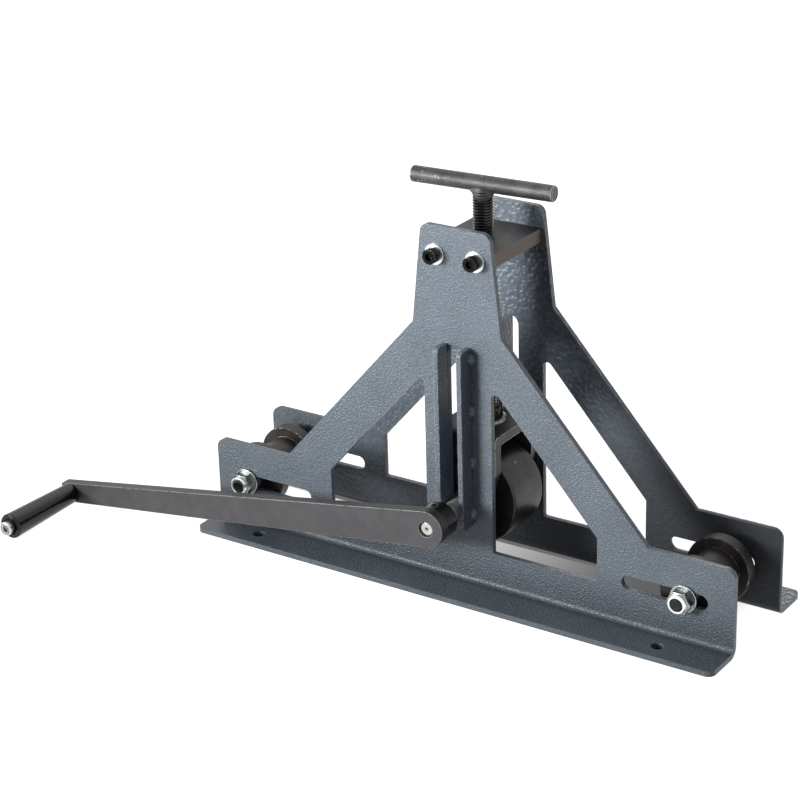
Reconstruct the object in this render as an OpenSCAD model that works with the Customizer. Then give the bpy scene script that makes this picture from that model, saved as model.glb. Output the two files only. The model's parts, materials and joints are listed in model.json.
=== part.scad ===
// Hand cranked tube roller bender: two bent side plates, a screw-fed yoke with the
// driven roller, and two flanged side rollers on adjustable axle bolts.
// X runs along the machine, the crank stands at -Y, and Z = 0 is the bench top.
// The origin is the middle of the four base bolt holes.

/* [Side plates] */
// Length of each side plate
plate_len = 520; // [480:5:620]
// Thickness of the sheet
plate_t = 5; // [4:0.5:7]
// Clear gap between the two side plates
plate_gap = 79; // [76:1:110]
// Depth of the base flange, measured from the outer face of the plate
flange_d = 37.5; // [34:0.5:50]
// Inside radius of the bend between plate and flange
bend_r = 4; // [3:0.5:6]
// Radius of the flange's outer corners
flange_corner_r = 7; // [3:1:12]
// Height of the end lugs
lug_h = 79; // [72:1:88]
// Radius of the lugs' top corners
lug_corner_r = 9; // [4:1:14]
// Distance from the middle to where the legs meet the lugs
leg_foot_x = 181; // [170:1:200]
// Height of the tower's shoulders
shoulder_z = 234; // [225:1:245]
// Width of the tower at its shoulders
shoulder_w = 86; // [80:1:96]
// Height of the tower
tower_h = 322; // [315:1:350]
// Width of the tower at its top
tower_w = 66; // [62:1:76]
// Radius of the tower's top corners
tower_corner_r = 8; // [4:1:12]

/* [Openings in the plates] */
// Distance from the middle to the windows' inner edge
window_in_x = 33; // [30:0.5:38]
// Distance from the middle to the windows' outer edge
window_out_x = 134; // [120:1:140]
// Height of the windows' lower edge
window_low_z = 36.5; // [30:0.5:45]
// Height of the windows' outer corner
window_out_z = 76.5; // [65:0.5:80]
// Height at which the sloping edge would meet the inner edge
window_peak_z = 190.5; // [175:0.5:192]
// Radius of the windows' top corner
window_peak_r = 4.5; // [2:0.5:7]
// Radius of the windows' other corners
window_corner_r = 1.5; // [0.5:0.5:4]
// Width of the upright slot for the drive shaft
slot_w = 17.5; // [17.3:0.1:18.5]
// Height of the lower end of the upright slot
slot_low_z = 58; // [52:0.5:60]
// Height of the upper end of the upright slot
slot_high_z = 220; // [215:0.5:226]
// Height of the axle slots' centre line
axle_z = 43; // [40:0.5:46]
// Width of the axle slots
axle_slot_w = 13; // [12.6:0.1:14]
// Distance from the middle to an axle slot's inner end centre
axle_slot_in_x = 163.5; // [158:0.5:172]
// Distance from the middle to an axle slot's outer end centre
axle_slot_out_x = 230; // [227:0.5:238]
// Diameter of the base bolt holes
base_hole_d = 11; // [8:0.5:13]
// Distance between the base holes along the machine
base_hole_pitch = 404; // [360:2:440]
// Distance from the plate's outer face to the base holes
base_hole_inset = 20.5; // [17:0.5:24]

/* [Guide bars] */
// Thickness of the guide bars
guide_t = 5; // [4:0.5:8]
// Depth of the guide bars, out from the plate
guide_d = 15.5; // [12:0.5:20]
// Corner radius at the ends of the guide bars
guide_corner_r = 5; // [2:0.5:7]
// Radius of the tack welds along the guide bars
tack_r = 3.4; // [2:0.2:5]
// Distance between tack welds
tack_pitch = 47; // [40:1:50]

/* [Cross plate] */
// Thickness of the cross plate between the towers
cross_t = 12; // [11:0.5:16]
// Length of the cross plate along the machine
cross_len = 65; // [60:0.5:68]
// Distance from the towers' top down to the cross plate's middle
cross_drop = 25; // [20:0.5:27]
// Distance between the two cap screws in each tower
cap_pitch = 39; // [36:0.5:42]

/* [Lead screw] */
// Outside diameter of the lead screw
screw_d = 18; // [16:0.5:20]
// Height of the T-bar's middle above the towers, as photographed
tbar_rise = 26; // [20:0.5:45]
// Diameter of the screw's plain lower end
journal_d = 14; // [10:0.5:15]
// Diameter of the T-bar
tbar_d = 14; // [10:0.5:16]
// Length of the T-bar
tbar_len = 132; // [110:1:160]
// Turn of the T-bar away from the machine's length
tbar_turn = 4.1; // [0:0.1:90]
// Chamfer on the T-bar's ends
tbar_chamfer = 1; // [0.5:0.1:2]

/* [Yoke] */
// Thickness of the yoke's flat bar
yoke_t = 9; // [7:0.5:10]
// Width of the yoke's flat bar
yoke_w = 60; // [54:1:64]
// Gap between a yoke leg and the side plate
yoke_side_gap = 5.5; // [3:0.5:7]
// Radius inside the yoke's bends
yoke_bend_r = 3; // [1:0.5:5]
// Radius outside the yoke's bends
yoke_edge_r = 6; // [3:0.5:12]
// Gap between the driven roller and the yoke's web
yoke_head_gap = 13.5; // [12.5:0.5:16]
// Radius of the yoke legs' round ends
yoke_end_r = 20; // [16:0.5:24]
// Height above the shaft at which the yoke legs start to narrow
yoke_taper_z = 31; // [28:1:36]
// Outside diameter of the thrust boss on the yoke
boss_d = 29; // [25:0.5:32]
// Height of the thrust boss
boss_h = 13; // [8:0.5:14]

/* [Drive shaft and driven roller] */
// Height of the drive shaft with the yoke as photographed
shaft_z = 73; // [71:0.5:78]
// Diameter of the drive shaft
shaft_d = 17; // [15:0.1:17]
// Diameter of the shaft's nose in the crank
nose_d = 13; // [11:0.5:14]
// Diameter of the driven roller
drive_roller_d = 85; // [76:1:88]

/* [Crank] */
// Distance from the shaft to the grip
crank_reach = 400; // [320:5:440]
// Fall of the crank arm below level, as photographed
crank_fall = 8.7; // [0:0.1:12]
// Thickness of the crank arm
arm_t = 10; // [7:0.5:12]
// Radius of the arm's end at the shaft
arm_hub_r = 16.5; // [15:0.5:18]
// Width of the arm at the grip
arm_grip_w = 18.6; // [16:0.2:24]
// Length of the arm past the grip's centre
arm_end_past = 10; // [9.5:0.5:16]
// Gap between the base flange and the crank arm
crank_clear = 5.5; // [3:0.5:12]
// Diameter of the hub behind the arm
hub_d = 31; // [28:0.5:33]
// Gap between the guide bars and the hub
hub_gap = 12; // [6:0.5:13]
// Length of the grip
grip_len = 83; // [70:1:110]
// Diameter of the grip at the arm
grip_near_d = 19.2; // [17:0.2:22]
// Diameter of the grip at its free end
grip_far_d = 23.5; // [21:0.5:25]

/* [Side rollers] */
// Outside diameter of the side rollers
roller_d = 58; // [50:1:66]
// Width of the side rollers
roller_w = 60; // [54:1:64]
// Thickness of a side roller's flange
roller_flange_t = 12; // [8:0.5:14]
// Diameter of a side roller's core
roller_core_d = 40; // [36:0.5:46]
// Diameter of the axle bolts
axle_d = 12; // [10:0.5:12.3]
// Place of the left axle, as photographed
left_axle_x = -227.5; // [-227.5:0.5:-180]
// Place of the right axle, as photographed
right_axle_x = 215; // [180:0.5:226]
// Place of the left roller along its axle
left_roller_y = -2; // [-5:0.5:5]
// Place of the right roller along its axle
right_roller_y = -4; // [-5:0.5:5]

/* [Hidden] */
$fn = 96;

// Fits and small clearances
overrun = 1;
running_fit = 0.05;
press_gap = 0.02;
face_gap = 0.1;

// Colours
coat_colour = [0.34, 0.38, 0.43];
black_steel = [0.10, 0.10, 0.11];
dark_steel = [0.25, 0.25, 0.26];
bare_steel = [0.55, 0.54, 0.52];
zinc = [0.80, 0.81, 0.78];
bronze = [0.62, 0.45, 0.22];

// Side plates and guide bars, measured out from the middle plane
plate_in_y = plate_gap / 2;
plate_out_y = plate_in_y + plate_t;
base_edge_y = plate_out_y + flange_d;
bend_y = plate_out_y + bend_r;
bend_top_z = plate_t + bend_r;
base_hole_x = base_hole_pitch / 2;
base_hole_y = plate_out_y + base_hole_inset;
guide_in_x = slot_w / 2;
guide_out_x = guide_in_x + guide_t;
guide_out_y = plate_out_y + guide_d;
guide_over = 1;
guide_high_z = slot_high_z + guide_over;
tack_low_z = slot_low_z + tack_pitch / 4;
tack_count = 4;
cross_z = tower_h - cross_drop;

// Cap screws, M8 with a socket head
cap_shank_d = 8;
cap_head_d = 13;
cap_head_h = 8;
cap_len = 25;
cap_socket = 6;
cap_socket_depth = 4;
cap_washer_d = 18;
cap_washer_t = 1.6;
cap_hole_d = 9;
cap_edge = 0.6;

// Lead screw and its weld
thrust_washer_t = 1.5;
thrust_washer_d = 22;
tee_weld_h = 6.5;
tee_weld_w = 4;
tee_saddle_share = 0.55;
screw_tip_chamfer = 1;
collar_d = 24;
collar_h = 8;
collar_play = 0.3;
collar_chamfer = 0.8;
pin_d = 4;

// Yoke, bushes and driven roller
bush_wall = 2.5;
bush_flange_t = 2.3;
bush_flange_d = 28;
roller_play = 0.2;
yoke_out_y = plate_in_y - yoke_side_gap;
yoke_in_y = yoke_out_y - yoke_t;
drive_half_w = yoke_in_y - bush_flange_t - roller_play;
drive_roller_r = drive_roller_d / 2;
web_low_z = shaft_z + drive_roller_r + yoke_head_gap;
web_top_z = web_low_z + yoke_t;
boss_top_z = web_top_z + boss_h;
boss_weld_leg = 3;
screw_low_z = boss_top_z + thrust_washer_t;
tbar_z = tower_h + tbar_rise;
collar_top_z = web_low_z - collar_play;
collar_low_z = collar_top_z - collar_h;
web_hole_gap = 0.75;
web_hole_d = journal_d + 2 * web_hole_gap;
bush_d = shaft_d + 2 * bush_wall;
drive_roller_chamfer = 1.2;

// Drive shaft, its key and the collar at its rear end
hub_back_y = -(guide_out_y + hub_gap);
arm_back_y = -(base_edge_y + crank_clear);
arm_front_y = arm_back_y - arm_t;
nose_recess = 2;
nose_chamfer = 1;
centre_hole_d = 3;
centre_hole_depth = 4;
arm_bore_gap = 0.25;
key_w = 5;
key_h = 5;
key_len = 36;
key_sunk = 3;
rear_collar_gap = 1;
rear_collar_d = 30;
rear_collar_w = 9;
shaft_tail = 1.5;
rear_collar_y = guide_out_y + rear_collar_gap;
shaft_end_y = rear_collar_y + rear_collar_w + shaft_tail;
grub_d = 6;
grub_len = 7;
grub_socket = 3;
grub_socket_depth = 3;
grub_sunk = 0.8;

// Grip and its bolt
arm_corner_r = 1.5;
grip_bolt_d = 8;
grip_head_d = 13;
grip_head_h = 8;
grip_head_proud = 6.5;
grip_bore_d = 14.6;
grip_round_r = 1.6;
grip_end_gap = 0.3;
grip_near_y = arm_front_y - grip_end_gap;
grip_far_y = grip_near_y - grip_len;
grip_head_y = grip_far_y - grip_head_proud;
grip_seat_y = grip_head_y + grip_head_h;

// Side rollers and axles, M12
roller_half_w = roller_w / 2;
roller_chamfer = 1;
roller_bush_wall = 2;
roller_side_gap = 0.2;
spacer_d = 18;
axle_washer_d = 24;
axle_washer_t = 2.5;
axle_washer_gap = 0.2;
axle_nut_af = 19;
axle_nut_h = 8.8;
axle_nut_ring_d = 17.2;
axle_nut_ring_h = 3.2;
axle_head_h = 7.5;
axle_end_past = 0.9;
axle_end_chamfer = 1;
axle_hex_chamfer = 1;
axle_face_y = plate_out_y + face_gap;
axle_washer_y = axle_face_y + axle_washer_t;
axle_end_y = axle_washer_y + axle_nut_h + axle_nut_ring_h + axle_end_past;
roller_bush_d = axle_d + 2 * roller_bush_wall;

// Plane geometry
function unit(v) = v / norm(v);
function corner_reach(a, p, b, r) = r / tan(acos(unit(a - p) * unit(b - p)) / 2);
function corner_centre(a, p, b, r) =
    p + unit(unit(a - p) + unit(b - p)) * r / sin(acos(unit(a - p) * unit(b - p)) / 2);
function before(points, i) = points[(i + len(points) - 1) % len(points)];
function after(points, i) = points[(i + 1) % len(points)];
function corner_points(points, radii, i) =
    radii[i] == 0 ? [points[i]] : let (
        a = before(points, i), p = points[i], b = after(points, i),
        reach = corner_reach(a, p, b, radii[i])
    ) [p + unit(a - p) * reach, p + unit(b - p) * reach];
// Point at which a line from p touches a circle of radius r at the origin
function touch_point(p, r, side) = let (
    turn = atan2(p[1], p[0]) + side * acos(r / norm(p))
) r * [cos(turn), sin(turn)];

// Polygon whose outward corners are rounded, each by its own radius
module soft_polygon(points, radii) {
    polygon([for (i = [0:len(points) - 1]) each corner_points(points, radii, i)]);
    for (i = [0:len(points) - 1])
        if (radii[i] > 0)
            translate(corner_centre(before(points, i), points[i], after(points, i), radii[i]))
                circle(radii[i]);
}

// Flat shape drawn in X and Z, as thick as the stretch from y0 to y1
module across(y0, y1) {
    translate([0, y1, 0])
        rotate([90, 0, 0])
            linear_extrude(y1 - y0)
                children();
}

// Flat shape drawn in Y and Z, as long as the stretch from x0 to x1
module along(x0, x1) {
    translate([x0, 0, 0])
        rotate([90, 0, 90])
            linear_extrude(x1 - x0)
                children();
}

// Round bar lying along Y from y0 to y1
module bar_y(d, y0, y1) {
    translate([0, y1, 0])
        rotate([90, 0, 0])
            cylinder(d = d, h = y1 - y0);
}

// Round bar lying along Y with chamfered ends
module chamfered_bar_y(d, y0, y1, c0, c1) {
    translate([0, y1, 0])
        rotate([90, 0, 0])
            rotate_extrude()
                polygon([
                    [0, 0], [d / 2 - c1, 0], [d / 2, c1],
                    [d / 2, y1 - y0 - c0], [d / 2 - c0, y1 - y0], [0, y1 - y0]
                ]);
}

// Ring lying along Y from y0 to y1
module ring_y(d, bore, y0, y1) {
    difference() {
        bar_y(d, y0, y1);
        bar_y(bore, y0 - overrun, y1 + overrun);
    }
}

module hex_y(af, y0, y1) {
    translate([0, y1, 0])
        rotate([90, 0, 0])
            cylinder(d = af / cos(30), h = y1 - y0, $fn = 6);
}

// Hexagon lying along Y whose corners are turned off by c0 and c1 at its ends
module turned_hex_y(af, y0, y1, c0, c1) {
    intersection() {
        hex_y(af, y0, y1);
        chamfered_bar_y(af / cos(30), y0, y1, c0, c1);
    }
}

module rear_copy() {
    mirror([0, 1, 0])
        children();
}

module at_shaft() {
    translate([0, 0, shaft_z])
        children();
}

// Frame of the crank arm: its length runs along -X from the shaft
module at_crank() {
    at_shaft()
        rotate([0, -crank_fall, 0])
            children();
}

// Round-ended slot from point a to point b, level or upright
module slot_shape(a, b, w) {
    side = unit([b[1] - a[1], a[0] - b[0]]) * w / 2;
    polygon([a + side, b + side, b - side, a - side]);
    for (p = [a, b])
        translate(p)
            circle(d = w);
}

// Outline of the side plate above its bend
module plate_outline() {
    half = [
        [plate_len / 2, bend_top_z], [plate_len / 2, lug_h], [leg_foot_x, lug_h],
        [shoulder_w / 2, shoulder_z], [tower_w / 2, tower_h]
    ];
    half_radii = [0, lug_corner_r, 0, 0, tower_corner_r];
    last = len(half) - 1;
    soft_polygon(
        concat(half, [for (i = [last:-1:0]) [-half[i][0], half[i][1]]]),
        concat(half_radii, [for (i = [last:-1:0]) half_radii[i]])
    );
}

module window_shape() {
    soft_polygon(
        [
            [window_in_x, window_low_z], [window_out_x, window_low_z],
            [window_out_x, window_out_z], [window_in_x, window_peak_z]
        ],
        [window_corner_r, window_corner_r, window_corner_r, window_peak_r]
    );
}

module plate_cutouts() {
    slot_shape([0, slot_low_z + slot_w / 2], [0, slot_high_z - slot_w / 2], slot_w);
    for (side = [0, 1])
        mirror([side, 0]) {
            window_shape();
            slot_shape([axle_slot_in_x, axle_z], [axle_slot_out_x, axle_z], axle_slot_w);
        }
}

// Section of the bend and the base flange, drawn in Y and Z
module foot_section() {
    translate([-plate_out_y, bend_top_z])
        square([plate_t, plate_t]);
    translate([-base_edge_y, 0])
        square([base_edge_y - bend_y, plate_t]);
    translate([-bend_y, bend_top_z])
        intersection() {
            difference() {
                circle(bend_r + plate_t);
                circle(bend_r);
            }
            translate([0, -bend_top_z])
                square(bend_top_z);
        }
}

module flange_corner_cut() {
    translate([plate_len / 2 - flange_corner_r, -base_edge_y + flange_corner_r, -overrun])
        difference() {
            translate([0, -flange_corner_r - overrun, 0])
                cube([
                    flange_corner_r + overrun, flange_corner_r + overrun, plate_t + 2 * overrun
                ]);
            cylinder(r = flange_corner_r, h = plate_t + 2 * overrun);
        }
}

module side_plate() {
    difference() {
        union() {
            across(-plate_out_y, -plate_in_y)
                plate_outline();
            along(-plate_len / 2, plate_len / 2)
                foot_section();
        }
        across(-plate_out_y - overrun, -plate_in_y + overrun)
            plate_cutouts();
        for (x = [-cap_pitch / 2, cap_pitch / 2])
            translate([x, 0, cross_z])
                bar_y(cap_hole_d, -plate_out_y - overrun, -plate_in_y + overrun);
        for (x = [-base_hole_x, base_hole_x])
            translate([x, -base_hole_y, -overrun])
                cylinder(d = base_hole_d, h = plate_t + 2 * overrun);
        for (side = [0, 1])
            mirror([side, 0, 0])
                flange_corner_cut();
    }
}

// Flat bar on edge, beside the upright slot at +X
module guide_bar() {
    along(guide_in_x, guide_out_x)
        soft_polygon(
            [
                [-plate_out_y, slot_low_z], [-plate_out_y, guide_high_z],
                [-guide_out_y, guide_high_z], [-guide_out_y, slot_low_z]
            ],
            [0, 0, guide_corner_r, guide_corner_r]
        );
}

// Tack welds down the outer side of both guide bars of one plate
module tack_welds() {
    for (side = [0, 1], i = [0:tack_count - 1])
        mirror([side, 0, 0])
            translate([guide_out_x, -plate_out_y, tack_low_z + i * tack_pitch])
                intersection() {
                    sphere(tack_r);
                    translate([0, -tack_r, -tack_r])
                        cube([tack_r, tack_r, 2 * tack_r]);
                }
}

module front_plate() {
    color(coat_colour)
        side_plate();
}

module rear_plate() {
    color(coat_colour)
        rear_copy()
            side_plate();
}

module front_guide_left() {
    color(coat_colour)
        mirror([1, 0, 0])
            guide_bar();
}

module front_guide_right() {
    color(coat_colour)
        guide_bar();
}

module rear_guide_left() {
    color(coat_colour)
        rear_copy()
            mirror([1, 0, 0])
                guide_bar();
}

module rear_guide_right() {
    color(coat_colour)
        rear_copy()
            guide_bar();
}

module front_guide_welds() {
    color(coat_colour)
        tack_welds();
}

module rear_guide_welds() {
    color(coat_colour)
        rear_copy()
            tack_welds();
}

// Places of the four cap screws, each looking out of its tower
module at_cap_screws() {
    for (side = [0, 1], x = [-cap_pitch / 2, cap_pitch / 2])
        mirror([0, side, 0])
            translate([x, -plate_out_y, cross_z])
                children();
}

module cross_plate() {
    color(dark_steel)
        difference() {
            translate([-cross_len / 2, -plate_in_y, cross_z - cross_t / 2])
                cube([cross_len, plate_gap, cross_t]);
            translate([0, 0, cross_z - cross_t / 2 - overrun])
                cylinder(d = screw_d + 2 * running_fit, h = cross_t + 2 * overrun);
            at_cap_screws()
                bar_y(cap_shank_d + 2 * press_gap, -overrun, cap_len);
        }
}

// Socket head cap screw: its head stands at -Y of the origin
module cap_screw() {
    difference() {
        union() {
            bar_y(cap_shank_d, -overrun, cap_len - cap_washer_t - overrun);
            chamfered_bar_y(cap_head_d, -cap_head_h, 0, cap_edge, 0);
        }
        hex_y(cap_socket, -cap_head_h - overrun, -cap_head_h + cap_socket_depth);
    }
}

module cap_screws() {
    color(black_steel)
        at_cap_screws()
            translate([0, -cap_washer_t, 0])
                cap_screw();
}

module cap_washers() {
    color(zinc)
        at_cap_screws()
            ring_y(cap_washer_d, cap_shank_d + 2 * face_gap, -cap_washer_t, 0);
}

// Face of a yoke leg, drawn round the shaft centre
module yoke_face() {
    top = web_top_z - shaft_z;
    waist = [yoke_w / 2, yoke_taper_z];
    touch = touch_point(waist, yoke_end_r, -1);
    polygon([
        [-yoke_w / 2, top], [-waist[0], waist[1]], [-touch[0], touch[1]],
        touch, waist, [yoke_w / 2, top]
    ]);
    circle(yoke_end_r);
}

// Upside-down U of the yoke, drawn in Y and Z
module yoke_section() {
    low = shaft_z - yoke_end_r - overrun;
    difference() {
        soft_polygon(
            [
                [-yoke_out_y, low], [yoke_out_y, low],
                [yoke_out_y, web_top_z], [-yoke_out_y, web_top_z]
            ],
            [0, 0, yoke_edge_r, yoke_edge_r]
        );
        soft_polygon(
            [
                [-yoke_in_y, low - overrun], [yoke_in_y, low - overrun],
                [yoke_in_y, web_low_z], [-yoke_in_y, web_low_z]
            ],
            [0, 0, yoke_bend_r, yoke_bend_r]
        );
    }
}

module yoke() {
    color(dark_steel)
        difference() {
            intersection() {
                along(-yoke_w / 2, yoke_w / 2)
                    yoke_section();
                at_shaft()
                    across(-yoke_out_y - overrun, yoke_out_y + overrun)
                        yoke_face();
            }
            at_shaft()
                bar_y(bush_d + 2 * press_gap, -yoke_out_y - overrun, yoke_out_y + overrun);
            translate([0, 0, web_low_z - overrun])
                cylinder(d = web_hole_d, h = yoke_t + 2 * overrun);
        }
}

module thrust_boss() {
    color(black_steel)
        translate([0, 0, web_top_z])
            difference() {
                cylinder(d = boss_d, h = boss_h);
                translate([0, 0, -overrun])
                    cylinder(d = journal_d + 2 * running_fit, h = boss_h + 2 * overrun);
            }
}

module boss_weld() {
    color(bare_steel)
        translate([0, 0, web_top_z])
            rotate_extrude()
                translate([boss_d / 2, 0])
                    polygon([[0, 0], [boss_weld_leg, 0], [0, boss_weld_leg]]);
}

// Flanged bush in the front yoke leg; the flange faces the driven roller
module yoke_bush() {
    color(bronze)
        at_shaft()
            difference() {
                union() {
                    bar_y(bush_d, -yoke_out_y, -yoke_in_y);
                    bar_y(bush_flange_d, -yoke_in_y, -yoke_in_y + bush_flange_t);
                }
                bar_y(shaft_d + 2 * running_fit, -yoke_out_y - overrun, 0);
            }
}

module yoke_bush_front() {
    yoke_bush();
}

module yoke_bush_rear() {
    rear_copy()
        yoke_bush();
}

module lead_screw() {
    color(black_steel)
        difference() {
            translate([0, 0, collar_low_z])
                rotate_extrude()
                    polygon([
                        [0, 0],
                        [journal_d / 2, 0],
                        [journal_d / 2, screw_low_z - collar_low_z],
                        [screw_d / 2 - screw_tip_chamfer, screw_low_z - collar_low_z],
                        [screw_d / 2, screw_low_z - collar_low_z + screw_tip_chamfer],
                        [screw_d / 2, tbar_z - tbar_d / 2 * tee_saddle_share - collar_low_z],
                        [0, tbar_z - tbar_d / 2 * tee_saddle_share - collar_low_z]
                    ]);
            tee_bar_blank(press_gap);
            collar_pin_blank(press_gap);
        }
}

// The T-bar, grown all round by gap
module tee_bar_blank(gap) {
    translate([0, 0, tbar_z])
        rotate([0, 0, tbar_turn])
            rotate([0, 90, 0])
                cylinder(d = tbar_d + 2 * gap, h = tbar_len, center = true);
}

module tee_bar() {
    c = tbar_chamfer;
    color(black_steel)
        translate([0, 0, tbar_z])
            rotate([0, 0, tbar_turn])
                rotate([0, 90, 0])
                    translate([0, 0, -tbar_len / 2])
                        rotate_extrude()
                            polygon([
                                [0, 0], [tbar_d / 2 - c, 0], [tbar_d / 2, c],
                                [tbar_d / 2, tbar_len - c], [tbar_d / 2 - c, tbar_len],
                                [0, tbar_len]
                            ]);
}

// Fillet welds at both sides of the screw's head, under the T-bar
module tee_weld() {
    low = tbar_z - tbar_d / 2 - tee_weld_h;
    high = tbar_z - tbar_d / 2 * tee_saddle_share;
    reach = screw_d / 2 + tee_weld_w;
    color(black_steel)
        difference() {
            intersection() {
                translate([0, 0, low])
                    rotate_extrude()
                        translate([screw_d / 2, 0])
                            polygon([
                                [0, 0], [tee_weld_w, tee_weld_h],
                                [tee_weld_w, high - low], [0, high - low]
                            ]);
                rotate([0, 0, tbar_turn])
                    translate([-reach, -tbar_d / 2, low])
                        cube([2 * reach, tbar_d, high - low]);
            }
            tee_bar_blank(press_gap);
        }
}

module thrust_washer() {
    color(bronze)
        translate([0, 0, boss_top_z])
            difference() {
                cylinder(d = thrust_washer_d, h = thrust_washer_t);
                translate([0, 0, -overrun])
                    cylinder(d = journal_d + 2 * face_gap, h = thrust_washer_t + 2 * overrun);
            }
}

// Spring pin through the collar, grown by gap
module collar_pin_blank(gap) {
    translate([-collar_d / 2, 0, (collar_low_z + collar_top_z) / 2])
        rotate([0, 90, 0])
            cylinder(d = pin_d + 2 * gap, h = collar_d);
}

module screw_collar() {
    c = collar_chamfer;
    color(dark_steel)
        difference() {
            translate([0, 0, collar_low_z])
                rotate_extrude()
                    polygon([
                        [journal_d / 2 + press_gap, 0], [collar_d / 2 - c, 0],
                        [collar_d / 2, c], [collar_d / 2, collar_h - c],
                        [collar_d / 2 - c, collar_h], [journal_d / 2 + press_gap, collar_h]
                    ]);
            translate([-overrun, 0, 0])
                collar_pin_blank(press_gap);
            translate([overrun, 0, 0])
                collar_pin_blank(press_gap);
        }
}

module collar_pin() {
    color(bare_steel)
        collar_pin_blank(0);
}

module drive_shaft() {
    color(bare_steel)
        at_shaft()
            difference() {
                union() {
                    chamfered_bar_y(shaft_d, hub_back_y, shaft_end_y, nose_chamfer, nose_chamfer);
                    chamfered_bar_y(
                        nose_d, arm_front_y + nose_recess, hub_back_y + overrun, nose_chamfer, 0
                    );
                }
                translate([-key_w / 2, -key_len / 2, shaft_d / 2 - key_sunk])
                    cube([key_w, key_len, key_sunk + overrun]);
                bar_y(
                    centre_hole_d, arm_front_y,
                    arm_front_y + nose_recess + centre_hole_depth
                );
            }
}

module driven_roller() {
    c = drive_roller_chamfer;
    color(dark_steel)
        at_shaft()
            difference() {
                chamfered_bar_y(drive_roller_d, -drive_half_w, drive_half_w, c, c);
                bar_y(shaft_d + 2 * press_gap, -drive_half_w - overrun, drive_half_w + overrun);
                translate([
                    -key_w / 2 - press_gap, -drive_half_w - overrun, shaft_d / 2 - key_sunk
                ])
                    cube([
                        key_w + 2 * press_gap, 2 * (drive_half_w + overrun), key_h + press_gap
                    ]);
            }
}

module roller_key() {
    color(bare_steel)
        at_shaft()
            translate([-key_w / 2, -key_len / 2, shaft_d / 2 - key_sunk])
                cube([key_w, key_len, key_h]);
}

// Grub screw standing on Z, with its socket up at height r from the axis
module grub(r) {
    translate([0, 0, r - grub_sunk - grub_len])
        difference() {
            cylinder(d = grub_d, h = grub_len);
            translate([0, 0, grub_len - grub_socket_depth])
                cylinder(
                    d = grub_socket / cos(30), h = grub_socket_depth + overrun, $fn = 6
                );
        }
}

module grub_hole(r) {
    cylinder(d = grub_d + 2 * press_gap, h = r + overrun);
}

module shaft_collar() {
    color(black_steel)
        at_shaft()
            difference() {
                chamfered_bar_y(
                    rear_collar_d, rear_collar_y, rear_collar_y + rear_collar_w,
                    collar_chamfer, collar_chamfer
                );
                bar_y(shaft_d + 2 * press_gap, rear_collar_y - overrun, shaft_end_y);
                translate([0, rear_collar_y + rear_collar_w / 2, 0])
                    grub_hole(rear_collar_d / 2);
            }
}

// The rear grub screw reaches down to the shaft
module collar_grub() {
    color(black_steel)
        at_shaft()
            translate([0, rear_collar_y + rear_collar_w / 2, 0])
                intersection() {
                    grub(rear_collar_d / 2);
                    translate([0, 0, shaft_d / 2])
                        cylinder(d = rear_collar_d, h = rear_collar_d);
                }
}

module crank_hub() {
    mid_y = (hub_back_y + arm_back_y) / 2;
    color(black_steel)
        at_crank()
            difference() {
                bar_y(hub_d, arm_back_y, hub_back_y);
                bar_y(nose_d + 2 * press_gap, arm_back_y - overrun, hub_back_y + overrun);
                translate([0, mid_y, 0])
                    grub_hole(hub_d / 2);
            }
}

module hub_grub() {
    mid_y = (hub_back_y + arm_back_y) / 2;
    color(black_steel)
        at_crank()
            translate([0, mid_y, 0])
                grub(hub_d / 2);
}

// Face of the crank arm, drawn with the shaft at the origin and the grip at -X
module arm_face() {
    end_x = -(crank_reach + arm_end_past);
    touch = touch_point([end_x, arm_grip_w / 2], arm_hub_r, -1);
    circle(arm_hub_r);
    soft_polygon(
        [
            [touch[0], -touch[1]], touch,
            [end_x, arm_grip_w / 2], [end_x, -arm_grip_w / 2]
        ],
        [0, 0, arm_corner_r, arm_corner_r]
    );
}

module crank_arm() {
    color(dark_steel)
        at_crank()
            difference() {
                across(arm_front_y, arm_back_y)
                    arm_face();
                bar_y(nose_d + 2 * arm_bore_gap, arm_front_y - overrun, arm_back_y + overrun);
                translate([-crank_reach, 0, 0])
                    bar_y(
                        grip_bolt_d + 2 * press_gap, arm_front_y - overrun,
                        arm_back_y + overrun
                    );
            }
}

module grip_bolt() {
    color(zinc)
        at_crank()
            translate([-crank_reach, 0, 0])
                difference() {
                    union() {
                        bar_y(grip_bolt_d, grip_seat_y - overrun, arm_back_y);
                        chamfered_bar_y(grip_head_d, grip_head_y, grip_seat_y, cap_edge, 0);
                    }
                    hex_y(
                        cap_socket, grip_head_y - overrun, grip_head_y + cap_socket_depth
                    );
                }
}

// Tapered grip, fatter at its free end, with a seat for the bolt head
module crank_grip() {
    near_r = grip_near_d / 2;
    far_r = grip_far_d / 2;
    color(black_steel)
        at_crank()
            translate([-crank_reach, grip_near_y, 0])
                rotate([90, 0, 0])
                    difference() {
                        rotate_extrude() {
                            polygon([
                                [0, 0], [near_r - grip_round_r, 0], [near_r, grip_round_r],
                                [far_r, grip_len - grip_round_r],
                                [far_r - grip_round_r, grip_len], [0, grip_len]
                            ]);
                            translate([near_r - grip_round_r, grip_round_r])
                                circle(grip_round_r);
                            translate([far_r - grip_round_r, grip_len - grip_round_r])
                                circle(grip_round_r);
                        }
                        translate([0, 0, -overrun])
                            cylinder(
                                d = grip_bolt_d + 2 * running_fit, h = grip_len + 2 * overrun
                            );
                        translate([0, 0, grip_near_y - grip_seat_y - face_gap])
                            cylinder(d = grip_bore_d, h = grip_len);
                    }
}

// Axle bolt with its head at the rear and its threaded end at the front
module axle_bolt() {
    color(black_steel)
        translate([0, 0, axle_z]) {
            chamfered_bar_y(axle_d, -axle_end_y, axle_washer_y, axle_end_chamfer, 0);
            turned_hex_y(
                axle_nut_af, axle_washer_y, axle_washer_y + axle_head_h, 0, axle_hex_chamfer
            );
        }
}

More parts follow.
